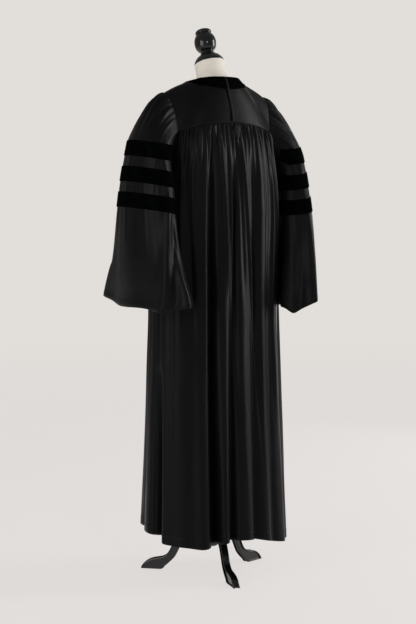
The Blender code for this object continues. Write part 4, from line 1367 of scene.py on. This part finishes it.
# Cut of each piece as it shows: flat width and length in metres, and its area where not a rectangle
CUTS = {
    "back_panel": ((0.78, 1.30), 0.900),
    "front": ((0.36, 1.29), 0.400),
    "yoke": ((0.40, 0.36), 0.102),
    "sleeve": ((0.90, 0.64), 0.372),
    "neck_band": ((0.30, 0.045), 0.0128),
    "front_band": ((0.125, 1.42), 0.158),
    "hood_tab": ((0.021, 0.046), 0.0008),
    "bar_left_1": ((0.40, 0.044), None),
    "bar_left_2": ((0.50, 0.044), None),
    "bar_left_3": ((0.60, 0.044), None),
    "bar_right_1": ((0.40, 0.044), None),
    "bar_right_2": ((0.52, 0.044), None),
    "bar_right_3": ((0.60, 0.044), None),
}


def build_panel(name, angles, flat, area):
    """One gathered body panel with its hem stitches."""
    gown = bpy.context.scene.gown_cloth_settings
    grid = panel_grid(angles, gown.crease)
    normals = grid_normals(grid, False, BODY_CENTRE)
    panel = cloth_sheet(name, grid, "gown_cloth", gown.cloth, normals=normals)
    hem = sewn_line(f"{name}_hem_stitches", grid[HEM_STITCH_ROW], normals[HEM_STITCH_ROW])
    dress(panel, flat, "gathered", ["yoke_cloth"], [name.removesuffix("_cloth")], area, [hem])


class GOWN_OT_back_panel(bpy.types.Operator):
    """Back panel, gathered into the yoke"""

    bl_idname = "gown.back_panel"
    bl_label = "Back panel"

    def execute(self, context):
        build_panel("back_panel_cloth", BACK_ANGLES, *CUTS["back_panel"])
        return {"FINISHED"}


class GOWN_OT_front_panels(bpy.types.Operator):
    """Both front panels, gathered beside the velvet"""

    bl_idname = "gown.front_panels"
    bl_label = "Front panels"

    def execute(self, context):
        for side, sign in (("left", 1.0), ("right", -1.0)):
            build_panel(f"front_{side}_cloth", sign * FRONT_ANGLES, *CUTS["front"])
        return {"FINISHED"}


class GOWN_OT_yoke(bpy.types.Operator):
    """Yoke over back and shoulders, with a row of stitches above its seams"""

    bl_idname = "gown.yoke"
    bl_label = "Yoke"

    def execute(self, context):
        gown = context.scene.gown_cloth_settings
        grid, normals = yoke_points()
        yoke = cloth_sheet("yoke_cloth", grid, "gown_cloth", gown.cloth, normals=normals)
        rows = []
        for part, first, last in YOKE_STITCHES:
            line, out = yoke_points(*YOKE_STITCH_SHARES, 2, first, last, 200)
            rows.append(sewn_line(f"yoke_{part}_stitches", line[1], out[1]))
        flat, area = CUTS["yoke"]
        dress(yoke, flat, "draped", ["form_torso"], ["yoke"], area, rows)
        return {"FINISHED"}


class GOWN_OT_sleeves(bpy.types.Operator):
    """Both bell sleeves, gathered at the head and open at the cuff"""

    bl_idname = "gown.sleeves"
    bl_label = "Sleeves"

    def execute(self, context):
        gown = context.scene.gown_cloth_settings
        for side in ("left", "right"):
            grid, normals = sleeve_points(side)
            sleeve = cloth_sheet(
                f"sleeve_{side}_cloth", grid, "gown_cloth", gown.cloth, loop=True, normals=normals
            )
            cuff = grid[CUFF_STITCH_ROW]
            line = sewn_line(f"sleeve_{side}_cuff_stitches", cuff, normals[CUFF_STITCH_ROW])
            flat, area = CUTS["sleeve"]
            dress(sleeve, flat, "hung", ["yoke"], [f"sleeve_{side}"], area, [line])
        return {"FINISHED"}


class GOWN_OT_bars(bpy.types.Operator):
    """Three velvet bars laid round each sleeve"""

    bl_idname = "gown.bars"
    bl_label = "Velvet bars"

    def execute(self, context):
        gown = context.scene.gown_cloth_settings
        away = turn_away(SLEEVE_TURNS, 0.0)
        order = np.argsort(away)
        lift = gown.cloth / 2 + gown.velvet / 2 + LAY_GAP
        for side in ("left", "right"):
            grid, normals = sleeve_points(side)
            for number in range(3):
                first = UPPER_BAR_STEP + 2 * number
                inside = (SLEEVE_STEPS >= first - 1e-6) & (SLEEVE_STEPS <= first + 1 + 1e-6)
                rows = np.flatnonzero(inside)
                band, out = grid[rows], normals[rows]
                full = np.abs(band[0, :, 2] - band[-1, :, 2]) > 0.3 * BAR_HEIGHT
                kept = order if full.all() else [k for k in order if full[k]]
                bar = cloth_sheet(
                    f"bar_{side}_{number + 1}_velvet", band[:, kept], "velvet", gown.velvet, lift,
                    bool(full.all()), out[:, kept],
                )
                flat, area = CUTS[f"bar_{side}_{number + 1}"]
                node = f"bar_{side}_{number + 1}"
                dress(bar, flat, "laid", [f"sleeve_{side}_cloth"], [node], area)
        return {"FINISHED"}


class GOWN_OT_velvet_bands(bpy.types.Operator):
    """Velvet round the back of the neck and down both fronts"""

    bl_idname = "gown.velvet_bands"
    bl_label = "Velvet neck and front bands"

    def execute(self, context):
        gown = context.scene.gown_cloth_settings
        lift = gown.cloth / 2 + gown.velvet / 2 + LAY_GAP
        angles = np.linspace(-NECK_BAND_ANGLE, NECK_BAND_ANGLE, 157)
        reach = neck_band_reach(angles)
        grid = yoke_point(angles[None, :], np.linspace(0.0, 1.0, 13)[:, None] * reach)
        band = cloth_sheet("neck_band_velvet", grid, "velvet", gown.velvet, lift, centre=YOKE_CENTRE)
        flat, area = CUTS["neck_band"]
        dress(band, flat, "laid", ["yoke_cloth"], ["neck_band"], area)
        for side, sign in (("left", 1.0), ("right", -1.0)):
            self.front_band(side, sign, lift, gown)
        return {"FINISHED"}

    def front_band(self, side, sign, lift, gown):
        """Band over the yoke from the shoulder, then down the front panel to the hem."""
        panel = panel_grid(sign * FRONT_ANGLES, gown.crease)
        out = grid_normals(panel, False, BODY_CENTRE)
        panel, out = panel[1:, -BAND_COLUMNS:], out[1:, -BAND_COLUMNS:]
        below = np.clip(FRONT_ANGLES[-BAND_COLUMNS:], None, CENTRE_FRONT)
        angles = np.concatenate([spaced((BAND_REACH["angle"][0], BAND_ANGLE, 44))[:-1], below])
        reach = np.interp(angles, BAND_REACH["angle"], BAND_REACH["share"])
        upper = yoke_point(sign * angles[None, :], np.linspace(0.0, 1.0, 21)[:, None] * reach)
        upper_out = grid_normals(upper, False, YOKE_CENTRE)
        rows, across = upper.shape[:2]
        points = np.concatenate([upper.reshape(-1, 3), panel.reshape(-1, 3)])
        normals = np.concatenate([upper_out.reshape(-1, 3), out.reshape(-1, 3)])
        numbers = np.arange(rows * across).reshape(rows, across)
        lower = np.arange(rows * across, len(points)).reshape(-1, BAND_COLUMNS)
        quads = np.concatenate(
            [
                grid_quads(numbers, False),
                grid_quads(np.concatenate([numbers[-1:, -BAND_COLUMNS:], lower]), False),
            ]
        )
        upper_along, upper_down = flat_lengths(upper)
        along, down = flat_lengths(panel)
        place = np.concatenate(
            [
                np.stack([upper_along, upper_down], -1).reshape(-1, 2),
                np.stack([along, down], -1).reshape(-1, 2),
            ]
        )
        band = sheet_object(
            f"front_band_{side}_velvet", points, normals, quads, "velvet", gown.velvet,
            lift + 2 * LAY_GAP, place,
        )
        flat, area = CUTS["front_band"]
        rests = ["yoke_cloth", f"front_{side}_cloth"]
        dress(band, flat, "laid", rests, [f"front_band_{side}"], area)


class GOWN_OT_hood_strap(bpy.types.Operator):
    """Strap down the centre back and the pointed tab that holds it"""

    bl_idname = "gown.hood_strap"
    bl_label = "Hood strap and tab"

    def execute(self, context):
        self.strap()
        self.tab(context.scene.gown_cloth_settings.crease)
        return {"FINISHED"}

    def strap(self):
        """Narrow strap that bends a little to each side and stands over the yoke."""
        shares = np.linspace(STRAP_LIFT["share"][0], STRAP_LIFT["share"][-1], 60)
        lifts = smooth_curve(STRAP_LIFT["share"], STRAP_LIFT["lift"], shares)
        centre = yoke_point(np.zeros(len(shares)), shares)
        bend = 0.0016 * np.sin(5.0 * shares) * np.sin(math.pi * shares)
        across = STRAP_OFFSET + np.linspace(-STRAP_WIDTH / 2, STRAP_WIDTH / 2, 7)
        grid = centre[:, None, :] + (across[None, :, None] + bend[:, None, None]) * np.array([1.0, 0, 0])
        grid = grid + np.array([0.0, 0.94, 0.34]) * lifts[:, None, None]
        strap = cloth_sheet("hood_strap_cloth", grid, "gown_cloth", STRAP_CLOTH, centre=BODY_CENTRE)
        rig.replaces(strap, "hood_strap")

    def tab(self, crease):
        """Pointed tab, slightly dished, on the highest ridge of the gathers below it."""
        drops = np.linspace(0.0, 1.0, 22)
        widths = smooth_curve(TAB_SHAPE["share"], TAB_SHAPE["width"], drops)
        spread = np.linspace(-4.0, 4.0, 17)
        side = np.linspace(-1.0, 1.0, 11)
        rows = []
        for width, height in zip(widths * TAB_WIDTH / 2, TAB_TOP - TAB_LENGTH * drops):
            under = body_point(spread, np.full(len(spread), height), crease)[0][:, 1].max()
            y = under + CAD_CLOTH / 2 + 0.0006 + LAY_GAP - 0.0006 * side**2
            rows.append(np.stack([side * width, y, np.full(len(side), height)], -1))
        grid = np.array(rows)
        tab = cloth_sheet("hood_tab_cloth", grid, "gown_cloth", TAB_CLOTH, centre=BODY_CENTRE)
        normals = grid_normals(grid, False, BODY_CENTRE)
        path, out = (
            np.concatenate([kept[1:-1, 1], kept[-2:-1, 5], kept[-2:0:-1, -2]]) for kept in (grid, normals)
        )
        line = stitches("hood_tab_stitches", path + out * 0.0007, out, 0.0026, 0.0018, 0.0004)
        flat, area = CUTS["hood_tab"]
        dress(tab, flat, "laid", ["back_panel_cloth"], ["hood_tab"], area, [line])


def torso_ring(angles, height, half_width, back, front):
    """Level ring of the torso."""
    turn = np.radians(angles)
    reach = np.where(np.cos(turn) > 0, back - SIDE_Y, SIDE_Y - front)
    return np.stack(
        [half_width * np.sin(turn), SIDE_Y + reach * np.cos(turn), np.full(len(angles), height)], -1
    )


def tilted_ring(angles, radius, centre, tilt):
    """Round ring of the neck, tilted forwards about its centre."""
    turn = np.radians(angles)
    flat = np.stack([radius * np.sin(turn), radius * np.cos(turn), np.zeros(len(angles))], -1)
    rotation = np.array(Matrix.Rotation(tilt, 3, "X"))
    return flat @ rotation.T + np.array(centre)


def form_skin(angles):
    """Rings of the form under the yoke, closer to the cloth over the shoulders."""
    band = neck_band_reach(angles)
    shares = (0 * band, band / 2, band, (1 + band) / 2, 0 * band + 1)
    grid = np.array([yoke_point(angles, share) for share in shares])
    normals = grid_normals(grid, True, YOKE_CENTRE)
    shoulder = np.clip(1.0 - ((np.abs(angles) - 90.0) / 25.0) ** 2, 0.0, 1.0)
    gaps, close = np.array(FORM_GAPS)[:, None], np.array(SHOULDER_GAPS)[:, None]
    gaps = gaps + (close - gaps) * shoulder
    return grid - normals * (CAD_CLOTH / 2 + gaps)[..., None]


def smooth_rings(rings, steps):
    """Rings with smooth steps between them."""
    rings = np.array(rings)
    return rounded_outline(rings.reshape(len(rings), -1), steps).reshape(-1, *rings.shape[1:])


def drawn_in(ring, shares):
    """Copies of a ring drawn in towards its middle."""
    return [ring + (ring.mean(axis=0) - ring) * share for share in shares]


def form_rings(angles):
    """Rings of the whole form, from the middle of the neck's top to the middle of its underside."""
    skin = form_skin(angles)
    neck = [
        tilted_ring(angles, radius, (0.0, y, z), NECK_TILT * share) for radius, y, z, share in NECK_RINGS
    ]
    neck.append(neck[-1] + (skin[0] - neck[-1]) * 0.5 - np.array([0.0, 0.0, NECK_DIP]))
    body = [torso_ring(angles, *row) for row in list(zip(*TORSO.values()))[::-1]]
    drop = skin[-1] + (body[0] - skin[-1]) * np.linspace(0.0, 1.0, 4)[1:-1, None, None]
    rings = np.concatenate([smooth_rings(neck + list(skin), 4), drop, smooth_rings(body, 5)])
    rings[..., 2] = np.maximum(rings[..., 2], FORM_BOTTOM)
    top = drawn_in(rings[0], (0.985, 0.5, 0.03))
    return np.concatenate([top, rings, drawn_in(rings[-1], (0.02, 0.35, 0.7, 0.985))])


class GOWN_OT_dress_form(bpy.types.Operator):
    """Padded form under a jersey cover, with its turned cap and finial"""

    bl_idname = "gown.dress_form"
    bl_label = "Dress form"

    def execute(self, context):
        rings = form_rings(np.linspace(-180.0, 180.0, 129)[:-1])
        numbers = np.arange(rings.shape[0] * rings.shape[1]).reshape(rings.shape[:2])
        faces = grid_quads(numbers, True).tolist() + [numbers[0].tolist(), numbers[-1].tolist()]
        cover = mesh_object("form_cover", rings.reshape(-1, 3), faces, "form_cover")
        along, down = flat_lengths(rings)
        place = np.stack([along, down], -1).reshape(-1, 2)
        lay_out(cover.data, place[corner_points(cover.data)])
        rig.replaces(cover, "form_torso")
        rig.padded(cover, fill=1.0)
        sides = int(context.scene.gown_form_settings.turned_sides)
        for name, outline in (("neck_cap", CAP_OUTLINE), ("finial", FINIAL_OUTLINE)):
            smooth = rounded_outline(outline, 5)
            made = turned(f"{name}_lacquered", smooth, "black_lacquer", NECK_TILT, sides)
            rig.replaces(made, name)
        return {"FINISHED"}


def carved_leg(number, angle):
    """Cabriole leg: smooth side view, rounded edges and a flat sole."""
    outline = rounded_outline(LEG_OUTLINE, 5, closed=True)
    outline[:, 1] = np.maximum(outline[:, 1], 0.0)
    outline[:, 0] = np.clip(outline[:, 0], *LEG_REACH)
    ahead = np.roll(outline, -1, axis=0) - np.roll(outline, 1, axis=0)
    inward = unit(np.stack([-ahead[:, 1], ahead[:, 0]], -1))
    if np.sum(inward * (outline.mean(axis=0) - outline)) < 0:
        inward = -inward
    layers = []
    for side in (-1.0, 1.0):
        for turn in np.radians([0.0, 22.5, 45.0, 67.5, 90.0])[:: int(-side)]:
            inset = LEG_RIM * (1 - math.cos(turn))
            depth = side * (LEG_THICKNESS / 2 - LEG_RIM + LEG_RIM * math.sin(turn))
            shape = outline + inward * inset
            layers.append(np.stack([shape[:, 0], np.full(len(shape), depth), shape[:, 1]], -1))
    rings = np.array(layers)
    rings[..., 2] = np.maximum(rings[..., 2], 0.0)
    count, around = rings.shape[:2]
    numbers = np.arange(count * around).reshape(count, around)
    faces = grid_quads(numbers, True).tolist() + [numbers[0].tolist(), numbers[-1].tolist()]
    rotation = np.array(Matrix.Rotation(math.radians(angle), 3, "Z"))
    points = rings.reshape(-1, 3) @ rotation.T
    leg = mesh_object(f"leg_{number}_carved", points, faces, "black_lacquer")
    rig.replaces(leg, f"leg_{number}")


class GOWN_OT_stand(bpy.types.Operator):
    """Pole, turned hub and three cabriole legs"""

    bl_idname = "gown.stand"
    bl_label = "Stand"

    def execute(self, context):
        sides = int(context.scene.gown_form_settings.turned_sides)
        pole = ((POLE_RADIUS, POLE_BOTTOM), (POLE_RADIUS, FORM_BOTTOM - LAY_GAP))
        made = turned("pole_tube", pole, "pole_metal", None, sides)
        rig.replaces(made, "pole")
        outline = rounded_outline(HUB_OUTLINE, 5)
        outline[:, 0] = np.minimum(outline[:, 0], HUB_RADIUS)
        made = turned("hub_turned", outline, "black_lacquer", None, sides)
        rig.replaces(made, "hub")
        for number, angle in enumerate(LEG_ANGLES, 1):
            carved_leg(number, angle)
        return {"FINISHED"}


def soft_light(name, place, aim, size, power):
    """Rectangular light of a width and a height, turned towards a point."""
    light = bpy.data.lights.new(name, "AREA")
    light.shape = "RECTANGLE"
    light.size, light.size_y = size
    light.energy = power
    made = bpy.data.objects.new(name, light)
    made.location = place
    made.rotation_mode = "QUATERNION"
    made.rotation_quaternion = (Vector(aim) - Vector(place)).to_track_quat("-Z", "Y")
    bpy.context.scene.collection.objects.link(made)


class GOWN_OT_stage(bpy.types.Operator):
    """Plain pale floor, soft studio light and the camera"""

    bl_idname = "gown.stage"
    bl_label = "Stage"

    def execute(self, context):
        stage = context.scene.gown_stage_settings
        scene = context.scene
        scene.view_settings.view_transform = "Standard"
        scene.view_settings.look = "None"
        world = bpy.data.worlds.new("studio")
        world.use_nodes = True
        tree = world.node_tree
        backdrop = tree.nodes["Background"]
        backdrop.inputs["Color"].default_value = (*stage.floor_colour, 1.0)
        ray = tree.nodes.new("ShaderNodeLightPath")
        strength = tree.nodes.new("ShaderNodeMapRange")
        strength.inputs["To Min"].default_value = stage.room_light
        strength.inputs["To Max"].default_value = 1.0
        tree.links.new(ray.outputs["Is Camera Ray"], strength.inputs["Value"])
        tree.links.new(strength.outputs["Result"], backdrop.inputs["Strength"])
        scene.world = world
        self.floor()
        for name, (degrees, far, height), aim, size, power, share in LIGHTS:
            turn = math.radians(degrees)
            place = (far * math.sin(turn), far * math.cos(turn), height)
            soft_light(name, place, aim, size, share * getattr(stage, power))
        self.camera(scene)
        return {"FINISHED"}

    def floor(self):
        """Wide pale floor whose edge fades into the room."""
        mesh = bpy.data.meshes.new("floor")
        sides = ((-1, -1), (1, -1), (1, 1), (-1, 1))
        mesh.from_pydata([(x * FLOOR_REACH, y * FLOOR_REACH, 0) for x, y in sides], [], [(0, 1, 2, 3)])
        floor = bpy.data.objects.new("floor", mesh)
        bpy.context.scene.collection.objects.link(floor)
        look = Look(
            "studio_floor", FLOOR_TONE, 0.80, Specular_IOR_Level=0.1,
            Emission_Strength=FLOOR_GLOW_STRENGTH, Emission_Color=(*FLOOR_GLOW, 1.0),
        )
        far = look.node("ShaderNodeVectorMath", operation="LENGTH")
        look.link(look.place.outputs["Object"], far.inputs[0])
        look.link(look.ranged(far.outputs["Value"], *FLOOR_FADE, 1.0, 0.0), look.shader.inputs["Alpha"])
        mesh.materials.append(look.material)
        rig.stage(floor)

    def camera(self, scene):
        """Camera at the photograph's place, measured from the pole's axis."""
        data = bpy.data.cameras.new("camera")
        data.sensor_width = 36.0
        data.lens = CAMERA_LENS
        data.shift_x = -POLE_OFF_CENTRE
        camera = bpy.data.objects.new("camera", data)
        place = np.array(
            [
                CAMERA_DISTANCE * math.sin(CAMERA_ANGLE), CAMERA_DISTANCE * math.cos(CAMERA_ANGLE),
                CAMERA_HEIGHT,
            ]
        )
        ahead = Vector(
            (
                -math.sin(CAMERA_ANGLE) * math.cos(CAMERA_PITCH),
                -math.cos(CAMERA_ANGLE) * math.cos(CAMERA_PITCH), -math.sin(CAMERA_PITCH),
            )
        )
        camera.location = Vector(place + SHIFT)
        camera.rotation_mode = "QUATERNION"
        camera.rotation_quaternion = ahead.to_track_quat("-Z", "Y")
        scene.collection.objects.link(camera)
        scene.camera = camera


OPERATORS = (
    GOWN_OT_dress_form, GOWN_OT_stand, GOWN_OT_yoke, GOWN_OT_back_panel, GOWN_OT_front_panels,
    GOWN_OT_sleeves, GOWN_OT_bars, GOWN_OT_velvet_bands, GOWN_OT_hood_strap, GOWN_OT_stage,
)


class GOWN_PT_sidebar(bpy.types.Panel):
    """Lists the settings and the pieces"""

    bl_label = "Graduation gown"
    bl_idname = "GOWN_PT_sidebar"
    bl_space_type = "VIEW_3D"
    bl_region_type = "UI"
    bl_category = "Gown"

    def draw(self, context):
        for settings in (
            context.scene.gown_cloth_settings, context.scene.gown_form_settings,
            context.scene.gown_stage_settings,
        ):
            box = self.layout.box()
            for name in settings.__annotations__:
                box.prop(settings, name)
        for operator in OPERATORS:
            self.layout.operator(operator.bl_idname)


CLASSES = (GownSettings, FormSettings, StageSettings, *OPERATORS, GOWN_PT_sidebar)


def register():
    for made in CLASSES:
        bpy.utils.register_class(made)
    bpy.types.Scene.gown_cloth_settings = PointerProperty(type=GownSettings)
    bpy.types.Scene.gown_form_settings = PointerProperty(type=FormSettings)
    bpy.types.Scene.gown_stage_settings = PointerProperty(type=StageSettings)


def unregister():
    del bpy.types.Scene.gown_cloth_settings
    del bpy.types.Scene.gown_form_settings
    del bpy.types.Scene.gown_stage_settings
    for made in reversed(CLASSES):
        bpy.utils.unregister_class(made)


def main():
    for old in list(bpy.context.scene.objects):
        of_frame = "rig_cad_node" in old or old.name.startswith("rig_")
        if not of_frame and old.type in ("MESH", "LIGHT", "CAMERA"):
            bpy.data.objects.remove(old, do_unlink=True)
    register()
    for operator in OPERATORS:
        area, name = operator.bl_idname.split(".")
        getattr(getattr(bpy.ops, area), name)()
    boxes = {"cad": [list(corner) for corner in CAD_BOX], "visual": [list(c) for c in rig.bounds()]}
    with open("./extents.json", "w") as file:
        json.dump(boxes, file)


if __name__ == "__main__":
    main()
